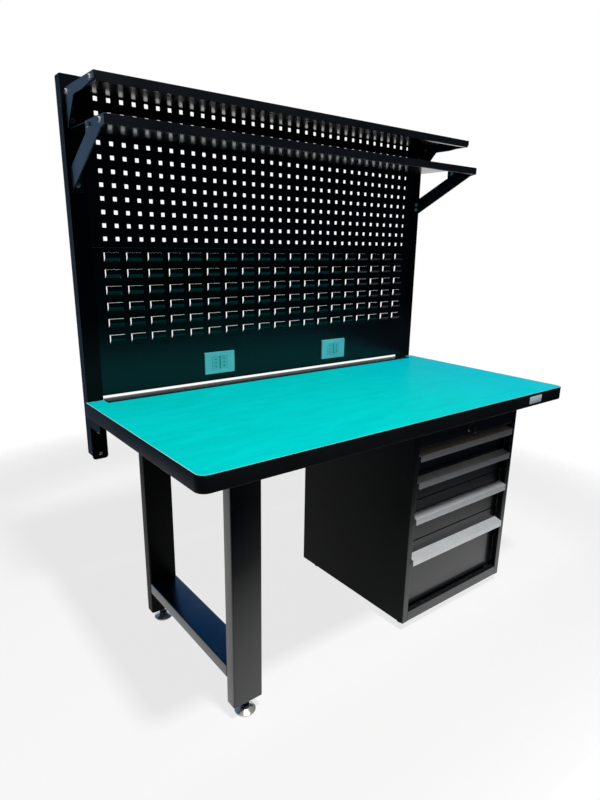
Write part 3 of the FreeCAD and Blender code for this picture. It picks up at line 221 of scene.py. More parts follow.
light = bpy.data.lights.new("softbox", "AREA")
light.size = LAMP_SIZE
light.energy = LAMP_WATTS
softbox = bpy.data.objects.new("softbox", light)
softbox.location = LAMP_PLACE
softbox.rotation_euler = (LAMP_AIM - LAMP_PLACE).to_track_quat("-Z", "Y").to_euler()
scene.collection.objects.link(softbox)
print(f"lamp of {LAMP_WATTS} W")

# %% [markdown]
# ### Floor
# The floor is one sheet of paper that fades out into the background, sooner in front. Rays from
# the camera, by mirrors and through glass see it part of the way to pure white. The rest of
# its colour keeps the bench's shadow.

# %% Floor
FLOOR_SPAN = (-2.3, 2.5)
FLOOR_DEPTH = (-0.95, 2.6)
FLOOR_DROP = 0.2 * MM
FLOOR_MIDDLE = (0.0, 0.4, 0.0)
FLOOR_FADE = (1.3, 2.2)
FLOOR_FRONT = (-0.35, -0.95)
FRONT_END = 0.08
FLOOR_WHITE = 0.78
FLOOR_LOOK = {
    "Base Color": (0.85, 0.85, 0.85, 1),
    "Roughness": 0.8,
    "Specular IOR Level": 0.1,
}

floor_paint = bpy.data.materials.new("paper_floor")
floor_paint.use_nodes = True
tree = floor_paint.node_tree
paper_shader = tree.nodes["Principled BSDF"]
for label, value in FLOOR_LOOK.items():
    paper_shader.inputs[label].default_value = value
place = step(tree, "ShaderNodeTexCoord").outputs["Object"]
inputs = {0: place, 1: FLOOR_MIDDLE}
reach = step(tree, "ShaderNodeVectorMath", inputs, operation="DISTANCE").outputs["Value"]
ahead = step(tree, "ShaderNodeSeparateXYZ", {0: place}).outputs["Y"]
opacity = arith(
    tree,
    "MULTIPLY",
    stretch(tree, reach, FLOOR_FADE, (1.0, 0.0)),
    stretch(tree, ahead, FLOOR_FRONT, (1.0, FRONT_END)),
)
tree.links.new(opacity, paper_shader.inputs["Alpha"])
by_camera, by_glass = seen_rays(tree)
looked_at = arith(tree, "MAXIMUM", by_camera, by_glass)
glow = arith(tree, "MULTIPLY", arith(tree, "MULTIPLY", looked_at, FLOOR_WHITE), opacity)
white = step(tree, "ShaderNodeEmission", {"Color": WHITE, "Strength": 1.0}).outputs[0]
shown = step(tree, "ShaderNodeMixShader", {0: glow, 1: paper_shader.outputs[0], 2: white})
tree.links.new(shown.outputs[0], tree.nodes["Material Output"].inputs["Surface"])

corners = [(x, y, -FLOOR_DROP) for x in FLOOR_SPAN for y in FLOOR_DEPTH]
floor_mesh = bpy.data.meshes.new("floor")
floor_mesh.from_pydata(corners, [], [(0, 2, 3, 1)])
floor = bpy.data.objects.new("floor", floor_mesh)
floor_mesh.materials.append(floor_paint)
scene.collection.objects.link(floor)
print("paper floor")

# %% [markdown]
# ## Shared surface effects
# Powder coat has a fine orange peel, slow changes of gloss, a little dust on faces that look
# up and rubbed edges. Brushed metal has streaks along one direction. Both are used by several
# finishes, so each is a node group with named inputs, and the shader stays in the material.


# %% Group helpers
def new_group(name, inputs, outputs):
    """A shader group with named sockets; returns its tree, inputs and outputs."""
    tree = bpy.data.node_groups.new(name, "ShaderNodeTree")
    for label, kind in inputs.items():
        tree.interface.new_socket(label, in_out="INPUT", socket_type="NodeSocket" + kind)
    for label, kind in outputs.items():
        tree.interface.new_socket(label, in_out="OUTPUT", socket_type="NodeSocket" + kind)
    start = tree.nodes.new("NodeGroupInput")
    end = tree.nodes.new("NodeGroupOutput")
    return tree, start.outputs, end.inputs


def noise(tree, spot, scale, detail, **more):
    """A noise value at a spot; the scale is in waves per metre."""
    inputs = {"Vector": spot, "Scale": scale, "Detail": detail} | more
    return step(tree, "ShaderNodeTexNoise", inputs).outputs[0]


def toned(tree, colour, tone):
    """A colour made lighter or darker by a number."""
    inputs = {0: colour, "Scale": tone}
    return step(tree, "ShaderNodeVectorMath", inputs, operation="SCALE").outputs[0]


# %% Group for coated and moulded surfaces
SURFACE = {"Colour": "Color", "Roughness": "Float", "Height": "Float"}
DUST_COLOUR = (0.30, 0.29, 0.27, 1)
PRIMER_COLOUR = (0.16, 0.165, 0.175, 1)
PEEL_SCALE = 420.0
DRIFT_SCALE = 7.0
SPECK_SCALE = 90.0
NOISE_MIDDLE = (0.3, 0.7)
DUSTY_RISE = (0.5, 0.95)
DUST_SPECKS = (0.42, 0.75)
RUBBED_SPECKS = (0.5, 0.62)
COAT_TONE = (0.8, 1.2)
COAT_GLOSS = (-0.04, 0.05)
DUST_ROUGHENS = 0.4

coat_inputs = {"Colour": "Color", "Roughness": "Float", "Peel": "Float"}
coat_inputs |= {"Dust": "Float", "Wear": "Float"}
coat_group, given, result = new_group("coated surface", coat_inputs, SURFACE)
spot = step(coat_group, "ShaderNodeTexCoord").outputs["Object"]
peel = noise(coat_group, spot, PEEL_SCALE, 2.0)
drift = noise(coat_group, spot, DRIFT_SCALE, 4.0)
specks = noise(coat_group, spot, SPECK_SCALE, 5.0)
normal = step(coat_group, "ShaderNodeNewGeometry").outputs["Normal"]
upward = step(coat_group, "ShaderNodeSeparateXYZ", {0: normal}).outputs["Z"]
level = stretch(coat_group, upward, DUSTY_RISE)
settled = arith(coat_group, "MULTIPLY", level, stretch(coat_group, specks, DUST_SPECKS))
dust = arith(coat_group, "MULTIPLY", settled, given["Dust"])
edge = step(coat_group, "ShaderNodeAttribute", attribute_name="edge").outputs["Fac"]
rubbed = arith(coat_group, "MULTIPLY", edge, stretch(coat_group, specks, RUBBED_SPECKS))
wear = arith(coat_group, "MULTIPLY", rubbed, given["Wear"])
tone = stretch(coat_group, drift, NOISE_MIDDLE, COAT_TONE)
dusty = blend_colour(coat_group, dust, toned(coat_group, given["Colour"], tone), DUST_COLOUR)
coat_group.links.new(blend_colour(coat_group, wear, dusty, PRIMER_COLOUR), result["Colour"])
change = stretch(coat_group, drift, NOISE_MIDDLE, COAT_GLOSS)
gloss = arith(coat_group, "ADD", given["Roughness"], change)
gloss = arith(coat_group, "MULTIPLY_ADD", dust, DUST_ROUGHENS, gloss)
coat_group.links.new(gloss, result["Roughness"])
coat_group.links.new(arith(coat_group, "MULTIPLY", peel, given["Peel"]), result["Height"])
print("group", coat_group.name)

# %% Group for brushed and plated metal
CLOUD_SCALE = 24.0
STREAK_TONE = (0.93, 1.04)
CLOUD_TONE = (0.94, 1.03)
STREAK_GLOSS = (-0.06, 0.08)

metal_inputs = {"Colour": "Color", "Roughness": "Float", "Grain": "Vector", "Depth": "Float"}
metal_group, given, result = new_group("brushed metal", metal_inputs, SURFACE)
spot = step(metal_group, "ShaderNodeTexCoord").outputs["Object"]
inputs = {0: spot, 1: given["Grain"]}
drawn = step(metal_group, "ShaderNodeVectorMath", inputs, operation="MULTIPLY").outputs[0]
streak = noise(metal_group, drawn, 1.0, 3.0)
cloud = noise(metal_group, spot, CLOUD_SCALE, 3.0)
tone = arith(
    metal_group,
    "MULTIPLY",
    stretch(metal_group, streak, NOISE_MIDDLE, STREAK_TONE),
    stretch(metal_group, cloud, NOISE_MIDDLE, CLOUD_TONE),
)
metal_group.links.new(toned(metal_group, given["Colour"], tone), result["Colour"])
change = stretch(metal_group, streak, NOISE_MIDDLE, STREAK_GLOSS)
metal_group.links.new(arith(metal_group, "ADD", given["Roughness"], change), result["Roughness"])
metal_group.links.new(arith(metal_group, "MULTIPLY", streak, given["Depth"]), result["Height"])
print("group", metal_group.name)

# %% [markdown]
# ## Finishes
# Each finish is a Principled shader fed by one of the groups. Numbers that are the same all
# over the surface are set on the shader itself, because the export keeps those.


# %% Finish builder
def finish_from(name, group, values, **constants):
    """A material whose colour, roughness and bump come from a shared group."""
    material = bpy.data.materials.new(name)
    material.use_nodes = True
    tree = material.node_tree
    shader = tree.nodes["Principled BSDF"]
    source = step(tree, "ShaderNodeGroup", node_tree=group)
    for label, value in values.items():
        source.inputs[label].default_value = value
    bump = step(tree, "ShaderNodeBump", {"Height": source.outputs["Height"], "Distance": MM})
    tree.links.new(source.outputs["Colour"], shader.inputs["Base Color"])
    tree.links.new(source.outputs["Roughness"], shader.inputs["Roughness"])
    tree.links.new(bump.outputs["Normal"], shader.inputs["Normal"])
    for label, value in constants.items():
        shader.inputs[label.replace("_", " ")].default_value = value
    return material


def coat(name, colour, roughness, peel=0.12, dust=0.05, wear=0.5, **constants):
    """A coated or moulded finish."""
    values = {"Colour": (*colour, 1), "Roughness": roughness}
    values |= {"Peel": peel, "Dust": dust, "Wear": wear}
    return finish_from(name, coat_group, values, **constants)


def metal(name, colour, roughness, grain, depth=0.03, share=1.0):
    """A bare, plated or anodised metal finish; anodising lowers the mirroring share."""
    values = {"Colour": (*colour, 1), "Roughness": roughness, "Grain": grain, "Depth": depth}
    return finish_from(name, metal_group, values, Metallic=share)


# %% [markdown]
# ### Coats, plastics and metals
# Most finishes go by the name of the material slot that they dress. The black coat is glossier
# under a clear lacquer. The rear leg, the uprights, the bench brackets and the cabinet's sides
# get a darker copy of the coat with almost no mirroring: painted shade. The stretcher's coat is
# tinted blue: a painted reflection of the sky. A metal's grain gives its streaks per metre along
# each axis.

# %% Coats, plastics and metals
LACQUER = {"Coat_Weight": 0.42, "Coat_Roughness": 0.12}
SMOOTH = {"peel": 0.05, "dust": 0.02, "wear": 0.0}
BAND = {"peel": 0.2, "dust": 0.03, "wear": 0.3, "Specular_IOR_Level": 0.1}
ALONG_X = (30.0, 1600.0, 1600.0)
finish = {
    "black_coat": coat("black_coat", (0.005, 0.0062, 0.008), 0.3, **LACQUER),
    "edge_band": coat("edge_band", (0.008, 0.0095, 0.0102), 0.42, **BAND),
    "glide_plastic": coat("glide_plastic", (0.012, 0.012, 0.012), 0.5, wear=0.0),
    # The pale teal of the socket covers and inserts is painted light: teal bounce from the worktop
    # on light plastic.
    "socket_cover": coat("socket_cover", (0.12, 0.55, 0.6), 0.3, **SMOOTH),
    "socket_insert": coat("socket_insert", (0.08, 0.49, 0.52), 0.35, **SMOOTH),
    "socket_back_box": coat("socket_back_box", (0.25, 0.26, 0.27), 0.5, wear=0.0),
    "handle_aluminium": metal("handle_aluminium", (0.95, 0.98, 0.99), 0.34, ALONG_X, share=0.54),
    "zinc": metal("zinc", (0.78, 0.8, 0.82), 0.42, (260.0, 260.0, 260.0), share=0.55),
    "foot_metal": metal("foot_metal", (0.84, 0.83, 0.78), 0.26, (300.0, 300.0, 900.0), share=0.75),
    "lock_chrome": metal("lock_chrome", (0.2, 0.21, 0.22), 0.26, (500.0, 500.0, 500.0)),
    "label_enamel": coat(
        "label_enamel", (0.62, 0.74, 0.79), 0.35, peel=0.04, dust=0.0, wear=0.2
    ),
}
# A darker copy of the black coat that barely mirrors: painted shade for faces that should read
# dark.
shade_dimmed_coat = coat("shade_dimmed_coat", (0.004, 0.005, 0.006), 0.32, Specular_IOR_Level=0.05)
stud_black = metal("stud_black", (0.04, 0.042, 0.046), 0.34, (200.0, 200.0, 2400.0))
panel_coat = coat("panel_coat", (0.0035, 0.0048, 0.007), 0.24, dust=0.0, Specular_IOR_Level=0.36)
# The stretcher's black coat is tinted blue: a painted reflection of the sky.
stretcher_coat_painted_sky = coat("black_coat_painted_sky", (0.004, 0.012, 0.028), 0.24, dust=0.02, **LACQUER)
print(len(finish), "finishes")

# %% [markdown]
# ### Laminate and chipboard
# The worktop's laminate is a teal print with a faint cloudy mottle and a satin pebble texture,
# and its colour turns a little bluer towards the right. A pale line on its slanted rim is a
# painted highlight. Below the laminate is chipboard, which shows only where the worktop is
# drilled from below. Each belongs to one piece, so their nodes stay in the material.

# %% Laminate
TEAL = (0.0004, 0.53, 0.51, 1)
TEAL_LIGHT = (0.0008, 0.6, 0.585, 1)
TEAL_BLUE = (0.0004, 0.53, 0.68, 1)
BLUE_REACH = (0.1, 0.95)
# Pale colour for a painted highlight along the laminate's slanted rim.
LAMINATE_HIGHLIGHT = (0.5, 0.86, 0.86, 1)
PLAIN = {"dust": 0.0, "wear": 0.0}
MOTTLE_PULL = (1.6, 6.0, 1.0)
MOTTLE_SCALE = 4.5
MOTTLE_RANGE = (0.37, 0.63)
MOTTLE_SHARE = (0.0, 0.85)
FLECK_SCALE = 260.0
FLECK_RANGE = (0.35, 0.65)
FLECK_SHARE = (0.0, 0.25)

laminate = coat("teal_laminate", TEAL[:3], 0.5, peel=0.16, Specular_IOR_Level=0.005, **PLAIN)
tree = laminate.node_tree
place = step(tree, "ShaderNodeTexCoord").outputs["Object"]
pulled = step(tree, "ShaderNodeMapping", {"Vector": place, "Scale": MOTTLE_PULL}).outputs[0]
mottle = noise(tree, pulled, MOTTLE_SCALE, 6.0, Roughness=0.6)
fleck = noise(tree, place, FLECK_SCALE, 2.0)
amount = arith(
    tree,
    "ADD",
    stretch(tree, mottle, MOTTLE_RANGE, MOTTLE_SHARE),
    stretch(tree, fleck, FLECK_RANGE, FLECK_SHARE),
)
# The colour turns bluer towards the right end of the worktop.
along = step(tree, "ShaderNodeSeparateXYZ", {0: place}).outputs["X"]
clouded = blend_colour(tree, amount, TEAL, TEAL_LIGHT)
graded_teal = blend_colour(tree, stretch(tree, along, BLUE_REACH), clouded, TEAL_BLUE)
# The marked rim faces get the pale colour: a painted highlight line.
painted_highlight = step(tree, "ShaderNodeAttribute", attribute_name="edge").outputs["Fac"]
lined = blend_colour(tree, painted_highlight, graded_teal, LAMINATE_HIGHLIGHT)
tree.links.new(lined, tree.nodes["Principled BSDF"].inputs["Base Color"])
finish["worktop_laminate"] = laminate
print("laminate")

# %% Chipboard
CHIP_SCALE = 380.0
CHIP_DARK = (0.30, 0.18, 0.09, 1)
CHIP_LIGHT = (0.55, 0.38, 0.21, 1)

chipboard = coat("chipboard", (0.42, 0.27, 0.14), 0.8, peel=0.6, **PLAIN)
tree = chipboard.node_tree
place = step(tree, "ShaderNodeTexCoord").outputs["Object"]
chips = step(tree, "ShaderNodeTexVoronoi", {"Vector": place, "Scale": CHIP_SCALE})
shade = step(tree, "ShaderNodeSeparateColor", {0: chips.outputs["Color"]}).outputs[0]
chipped = blend_colour(tree, shade, CHIP_DARK, CHIP_LIGHT)
tree.links.new(chipped, tree.nodes["Principled BSDF"].inputs["Base Color"])
finish["worktop_core"] = chipboard
print("chipboard")

# %% [markdown]
# ## From CAD node to finished piece
# Folded sheet has no knife edges. A copy of a CAD node's mesh is merged and its flat faces are
# joined again. The bends of a folded sheet are rounded outside and inside, a Bevel modifier
# rounds the other edges, and points that then fall together are welded. The bevel marks its
# own faces with a second material number. That mark becomes an attribute which the coat reads
# for its rubbed edges.


# %% Hanging a piece on its body
def finished(name, mesh, material, replaced=()):
    """Hangs a mesh on the body that carries it, in place of the CAD nodes it stands for."""
    obj = bpy.data.objects.new(name, mesh)
    scene.collection.objects.link(obj)
    mesh.materials.clear()
    mesh.materials.append(material)
    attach(obj, body_of(replaced[0]) if replaced else "bench")
    if replaced:
        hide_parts(*replaced)
    return obj


# %% Clean meshes
MERGE_DISTANCE = 0.005 * MM
FLAT_ANGLE = math.radians(1)


def evaluated_mesh(obj):
    """The plain mesh that an object's modifiers give; the object itself is removed."""
    graph = bpy.context.evaluated_depsgraph_get()
    made = obj.evaluated_get(graph)
    mesh = bpy.data.meshes.new_from_object(made, preserve_all_data_layers=True, depsgraph=graph)
    bpy.data.objects.remove(obj)
    return mesh


def merged_copy(node):
    """A CAD node's faces as a clean mesh: points merged, flat faces joined."""
    source = cad[node].data
    shape = bmesh.new()
    points = [shape.verts.new(v.co) for v in source.vertices]
    for face in source.polygons:
        shape.faces.new([points[i] for i in face.vertices])
    bmesh.ops.remove_doubles(shape, verts=shape.verts, dist=MERGE_DISTANCE)
    bmesh.ops.dissolve_limit(
        shape, angle_limit=FLAT_ANGLE, verts=shape.verts, edges=shape.edges
    )
    return shape


# %% Rounded bends
BEND_INSIDE = 0.9 * MM
BEND_ANGLE = math.radians(60)
SLIVER = 0.01 * MM


def fold(shape, sheet):
    """Rounds the edges between broad faces, where a sheet is bent: outside and inside."""
    broad = set()
    for face in shape.faces:
        if face.calc_area() > 2 * sheet * max(edge.calc_length() for edge in face.edges):
            broad.add(face)
    bends = []
    for edge in shape.edges:
        if len(edge.link_faces) == 2 and broad.issuperset(edge.link_faces):
            if edge.calc_face_angle() > BEND_ANGLE:
                bends.append(edge)
    outside = [edge for edge in bends if edge.is_convex]
    inside = [edge for edge in bends if not edge.is_convex]
    for edges, radius in ((outside, BEND_INSIDE + sheet), (inside, BEND_INSIDE)):
        bmesh.ops.bevel(
            shape,
            geom=[edge for edge in edges if edge.is_valid],
            offset=radius,
            offset_type="OFFSET",
            segments=3,
            profile=0.5,
            affect="EDGES",
            clamp_overlap=True,
        )
    bmesh.ops.dissolve_degenerate(shape, dist=SLIVER, edges=shape.edges)


# %% Rounded edges
SHARP_ANGLE = math.radians(40)


def rounded(mesh, width, segments):
    """Rounds a mesh's sharp edges and marks the rounded strips."""
    mesh.polygons.foreach_set("use_smooth", [True] * len(mesh.polygons))
    obj = bpy.data.objects.new("unrounded", mesh)
    scene.collection.objects.link(obj)
    for _ in range(2):
        mesh.materials.append(finish["black_coat"])
    bevel = obj.modifiers.new("rounding", "BEVEL")
    bevel.width, bevel.segments = width, segments
    bevel.limit_method, bevel.angle_limit = "ANGLE", SHARP_ANGLE
    bevel.material = 1
    obj.modifiers.new("slivers", "WELD").merge_threshold = SLIVER
    obj.modifiers.new("flat faces", "WEIGHTED_NORMAL")
    made = evaluated_mesh(obj)
    edge = made.attributes.new("edge", "FLOAT", "CORNER")
    for face in made.polygons:
        for corner in face.loop_indices:
            edge.data[corner].value = face.material_index
        face.material_index = 0
    return made


def softened(node, width, material=None, segments=2, sheet=None):
    """A CAD node with its edges rounded, and with rounded bends where it is folded sheet."""
    shape = merged_copy(node)
    if sheet:
        fold(shape, sheet)
    mesh = bpy.data.meshes.new(node + "_soft")
    shape.to_mesh(mesh)
    shape.free()
    return finished(
        node + "_soft", rounded(mesh, width, segments), material or finish[slot_of[node]], (node,)
    )


# %% [markdown]
# ## Worktop
# The worktop is a laminated board with a black edge band. The band is swept round the board's
# outline with rounded edges, and the laminate lies flush inside it with a hair-fine joint. A
# sweep lets the front corners have a larger radius than the rear ones, unlike a bevelled box.

# %% Outline loops
AXES = {"y": (0, 2, 1), "z": (0, 1, 2)}


def outline_loop(low, high, radii, turns):
    """Points round a rectangle, anticlockwise from the far right, with a radius per corner."""
    corners = [(high[0], high[1], -1, -1), (low[0], high[1], 1, -1)]
    corners += [(low[0], low[1], 1, 1), (high[0], low[1], -1, 1)]
    points = []
    for number, ((x, y, to_x, to_y), radius) in enumerate(zip(corners, radii)):
        for turn in range(turns + 1):
            angle = math.pi / 2 * (number + turn / turns)
            across, up = to_x + math.cos(angle), to_y + math.sin(angle)
            points.append((x + radius * across, y + radius * up))
    return points


def lay(axis, flat, along):
    """A point from its two places across an axis and its place along it."""
    point = [0.0, 0.0, 0.0]
    first, second, third = AXES[axis]
    point[first], point[second], point[third] = flat[0], flat[1], along
    return point


# %% Stitching rings of points
def smooth(mesh, sharp=35):
    """Smooth shading that breaks at sharp edges."""
    mesh.polygons.foreach_set("use_smooth", [True] * len(mesh.polygons))
    mesh.set_sharp_from_angle(angle=math.radians(sharp))


def stitched(name, rings, closed):
    """A mesh over rings of points; a row of rings that is not closed gets a lid at each end."""
    shape = bmesh.new()
    loops = [[shape.verts.new(point) for point in ring] for ring in rings]
    for below, above in zip(loops, loops[1:] + loops[:1] if closed else loops[1:]):
        for i in range(len(below)):
            k = (i + 1) % len(below)
            shape.faces.new((below[i], below[k], above[k], above[i]))
    if not closed:
        shape.faces.new(loops[0])
        shape.faces.new(loops[-1])
    bmesh.ops.recalc_face_normals(shape, faces=shape.faces)
    mesh = bpy.data.meshes.new(name)
    shape.to_mesh(mesh)
    shape.free()
    smooth(mesh)
    return mesh


# %% Sweeping a profile round an outline
LEAST_CORNER = 0.05 * MM


def swept(name, axis, low, high, corner, profile, closed, turns=8):
    """A solid or ring from outline loops; the profile lists (inset, place along the axis)."""
    rings = []
    corners = corner if isinstance(corner, tuple) else (corner,) * 4
    for inset, along in profile:
        radii = [max(radius - inset, LEAST_CORNER) for radius in corners]
        near, far = (low[0] + inset, low[1] + inset), (high[0] - inset, high[1] - inset)
        flat = outline_loop(near, far, radii, turns)
        rings.append([lay(axis, point, along) for point in flat])
    return stitched(name, rings, closed)


def arc(inset, along, radius, start, end, steps=4):
    """Profile points on a quarter turn about a middle."""
    for i in range(steps + 1):
        angle = math.radians(start + (end - start) * i / steps)
        yield (inset + radius * math.cos(angle), along + radius * math.sin(angle))


# %% Edge band and laminate
FRONT_CORNER = 28 * MM
REAR_CORNER = 4 * MM
BAND_CORNERS = (REAR_CORNER, REAR_CORNER, FRONT_CORNER, FRONT_CORNER)
BAND_THICKNESS = 3 * MM
BAND_ROUND = 2.4 * MM
JOINT_GAP = 0.25 * MM
EDGE_LINE = 1.2 * MM
SLANT = (0.05, 0.99)
PLATE_PROUD = 0.3 * MM

low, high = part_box("worktop_edge_band")
low.y += PLATE_PROUD
profile = [(BAND_THICKNESS, low.z), *arc(BAND_ROUND, low.z + BAND_ROUND, BAND_ROUND, 270, 180)]
profile += [*arc(BAND_ROUND, high.z - BAND_ROUND, BAND_ROUND, 180, 90), (BAND_THICKNESS, high.z)]
band = swept("edge_band_strip", "z", low, high, BAND_CORNERS, profile, True)
finished("edge_band_strip", band, finish["edge_band"], ("worktop_edge_band",))

low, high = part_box("worktop_laminate")
profile = [(JOINT_GAP, low.z), (JOINT_GAP, high.z - JOINT_GAP), (JOINT_GAP + EDGE_LINE, high.z)]
sheet_corners = tuple(radius - BAND_THICKNESS for radius in BAND_CORNERS)
top = swept("laminate_sheet", "z", low, high, sheet_corners, profile, False)
# The laminate's slanted rim faces are marked so that its material paints a highlight line there.
edge = top.attributes.new("edge", "FLOAT", "CORNER")
for face in top.polygons:
    for corner in face.loop_indices:
        edge.data[corner].value = float(SLANT[0] < face.normal.z < SLANT[1])
finished("laminate_sheet", top, finish["worktop_laminate"], ("worktop_laminate",))
print("worktop", [round(v, 3) for v in high - low])

# %% [markdown]
# ## Leg frame
# Legs and stretcher are welded box section. Real box section has rounded corners about twice
# its wall, which catch a soft line of light, so each tube is swept with such a corner.

# %% Legs and stretcher
TUBE_CORNER = 5 * MM
STRETCHER_CORNER = 4 * MM
TUBE_END = 1.0 * MM


def box_section(node, axis, corner, material):
    """A closed tube with rounded long edges in place of a CAD node."""
    low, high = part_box(node)
    first, second, third = AXES[axis]
    start, end = low[third], high[third]
    profile = [(TUBE_END, start), (0, start + TUBE_END), (0, end - TUBE_END), (TUBE_END, end)]
    flat_low, flat_high = (low[first], low[second]), (high[first], high[second])
    mesh = swept(node + "_tube", axis, flat_low, flat_high, corner, profile, False)
    return finished(node + "_tube", mesh, material, (node,))


box_section("front_leg", "z", TUBE_CORNER, finish["black_coat"])
# The rear leg gets the darker coat as painted shade.
box_section("rear_leg", "z", TUBE_CORNER, shade_dimmed_coat)
# The stretcher wears the blue-tinted coat, a painted sky reflection.
box_section("leg_stretcher", "y", STRETCHER_CORNER, stretcher_coat_painted_sky)
print("leg frame")

# %% [markdown]
# ## Levelling feet
# A foot is a turned pad with a threaded stud and a hexagon collar. The pad is lathe work: a
# profile is swung round the axis. The stud keeps its CAD shape with eased edges, and its finish
# has fine streaks across it like a thread.


# %% Lathe
def lathe(name, centre, profile, segments=40):
    """A turned shape from (radius, height) points, closed at both ends."""
    rings = []
    for radius, z in profile:
        ring = []
        for i in range(segments):
            angle = 2 * math.pi * i / segments
            x, y = centre[0] + radius * math.cos(angle), centre[1] + radius * math.sin(angle)
            ring.append((x, y, z))
        rings.append(ring)
    return stitched(name, rings, False)


# %% Feet
PAD_CROWN = 15 * MM
PAD_RIM = 6 * MM
PAD_EASE = 1 * MM
STUD_EDGE = 0.5 * MM
for side in ("front", "rear"):
    low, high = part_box(f"{side}_foot_pad")
    centre, radius = (low + high) / 2, (high.x - low.x) / 2
    rim = low.z + PAD_RIM
    bell = [(radius - PAD_EASE, low.z), (radius, low.z + PAD_EASE)]
    bell += [(radius, rim - PAD_EASE), (radius - PAD_EASE, rim)]
    bell += [(PAD_CROWN + 3 * PAD_EASE, high.z - 2 * PAD_EASE)]
    bell += [(PAD_CROWN + PAD_EASE, high.z - 0.6 * PAD_EASE), (PAD_CROWN - PAD_EASE, high.z)]
    pad = lathe(f"{side}_foot_bell", centre, bell)
    finished(f"{side}_foot_bell", pad, finish["foot_metal"], (f"{side}_foot_pad",))
    softened(f"{side}_foot_stud", STUD_EDGE, stud_black)
print("feet")

# %% [markdown]
# ## Folded steel
# Cabinet, drawers, shelves, brackets, uprights and the low rail are bent sheet or plate. Their
# shapes are right in the CAD part, so they only get rounded bends, rounded edges and the coat.
# The bends catch the thin lines of light that show a folded sheet from a solid block.

# %% Folded steel
SHEET = 1.5 * MM
DRAWER_SHEET = 1.2 * MM
POST_WALL = 2.5 * MM
SHEET_EDGE = 0.4 * MM
PLATE_EDGE = 0.9 * MM
FRONT_FACING = -0.5
for node in ("cabinet_base", "lock_header", "upper_shelf", "lower_shelf"):
    softened(node, SHEET_EDGE, sheet=SHEET)
# The cabinet's sides get the darker coat as painted shade; only their front faces keep the glossy
# black coat.
for node in ("cabinet_left_side", "cabinet_right_side"):
    stile = softened(node, SHEET_EDGE, shade_dimmed_coat, sheet=SHEET).data
    stile.materials.append(finish["black_coat"])
    for face in stile.polygons:
        face.material_index = int(face.normal.y < FRONT_FACING)
for number in range(1, 5):
    softened(f"drawer_{number}_box", SHEET_EDGE, sheet=DRAWER_SHEET)
# The uprights get the darker coat as painted shade.
for node in ("left_upright", "right_upright"):
    softened(node, SHEET_EDGE, shade_dimmed_coat, sheet=POST_WALL)
for node in ("socket_panel", "rear_rail"):
    softened(node, SHEET_EDGE, panel_coat)
for node in ("upper_shelf_brackets", "lower_shelf_brackets"):
    softened(node, PLATE_EDGE)
# The bench brackets get the darker coat as painted shade.
softened("bench_brackets", PLATE_EDGE, shade_dimmed_coat)
print("folded steel")

# %% [markdown]
# ## Handles, lock and sockets
# The handles are drawn aluminium, the lock is turned and plated, the sockets are moulded. Their
# CAD shapes are complete, and a fresh model would only repeat them. So each keeps its
# shape and gets edges as soft as its process leaves them.

# %% Handles, lock and sockets
HANDLE_EDGE = 0.6 * MM
LOCK_EDGE = 0.35 * MM
SOCKET_EDGE = 0.9 * MM
for number in range(1, 5):
    softened(f"drawer_{number}_handle", HANDLE_EDGE)
for node in ("lock_body", "lock_plug", "lock_key"):
    softened(node, LOCK_EDGE)
for node in ("socket_plates", "socket_modules"):
    softened(node, SOCKET_EDGE, segments=3)
print("handles, lock, sockets")

# %% [markdown]
# ## Perforated and louvred panels
# Both panels are punched by a machine that steps over a grid, so Geometry Nodes do the same:
# a rectangle and a grid of small outlines are filled as one flat sheet, the sheet is given
# its thickness, and the louvre tongues are instanced on the same grid. The folded rim round
# each panel is swept and joined to it afterwards.


# %% Geometry tree helpers
def geometry_tree(name, inputs):
    """An empty geometry tree with named inputs."""
    tree = bpy.data.node_groups.new(name, "GeometryNodeTree")
    tree.interface.new_socket("Geometry", in_out="INPUT", socket_type="NodeSocketGeometry")
    for label, kind in inputs.items():
        tree.interface.new_socket(label, in_out="INPUT", socket_type="NodeSocket" + kind)
    tree.interface.new_socket("Geometry", in_out="OUTPUT", socket_type="NodeSocketGeometry")
    return tree, tree.nodes.new("NodeGroupInput").outputs


def end_tree(tree, geometry, material):
    """Realizes the instances, sets the material and closes the tree."""
    real = step(tree, "GeometryNodeRealizeInstances", {"Geometry": geometry}).outputs[0]
    inputs = {"Geometry": real, "Material": material}
    dressed = step(tree, "GeometryNodeSetMaterial", inputs).outputs[0]
    step(tree, "NodeGroupOutput", {"Geometry": dressed})


def joined(tree, *parts):
    """Several geometries as one."""
    return step(tree, "GeometryNodeJoinGeometry", {"Geometry": list(parts)}).outputs[0]


def on_points(tree, points, instance, **more):
    """One instance at each point."""
    inputs = {"Points": points, "Instance": instance} | more
    return step(tree, "GeometryNodeInstanceOnPoints", inputs).outputs[0]


def grown(name, tree, values, seed_mesh=None):
    """Runs a tree on a mesh and returns the plain mesh that it makes."""
    obj = bpy.data.objects.new(name, seed_mesh or bpy.data.meshes.new(name))
    scene.collection.objects.link(obj)
    modifier = obj.modifiers.new("grow", "NODES")
    modifier.node_group = tree
    for item in tree.interface.items_tree:
        if item.in_out == "INPUT" and item.name in values:
            modifier[item.identifier] = values[item.name]
    mesh = evaluated_mesh(obj)
    mesh.name = name
    return mesh


def rectangle(tree, width, height):
    """A flat rectangle curve."""
    inputs = {"Width": width, "Height": height}
    return step(tree, "GeometryNodeCurvePrimitiveQuadrilateral", inputs).outputs[0]


# %% Punching helpers
FILL_MERGE = 0.01 * MM


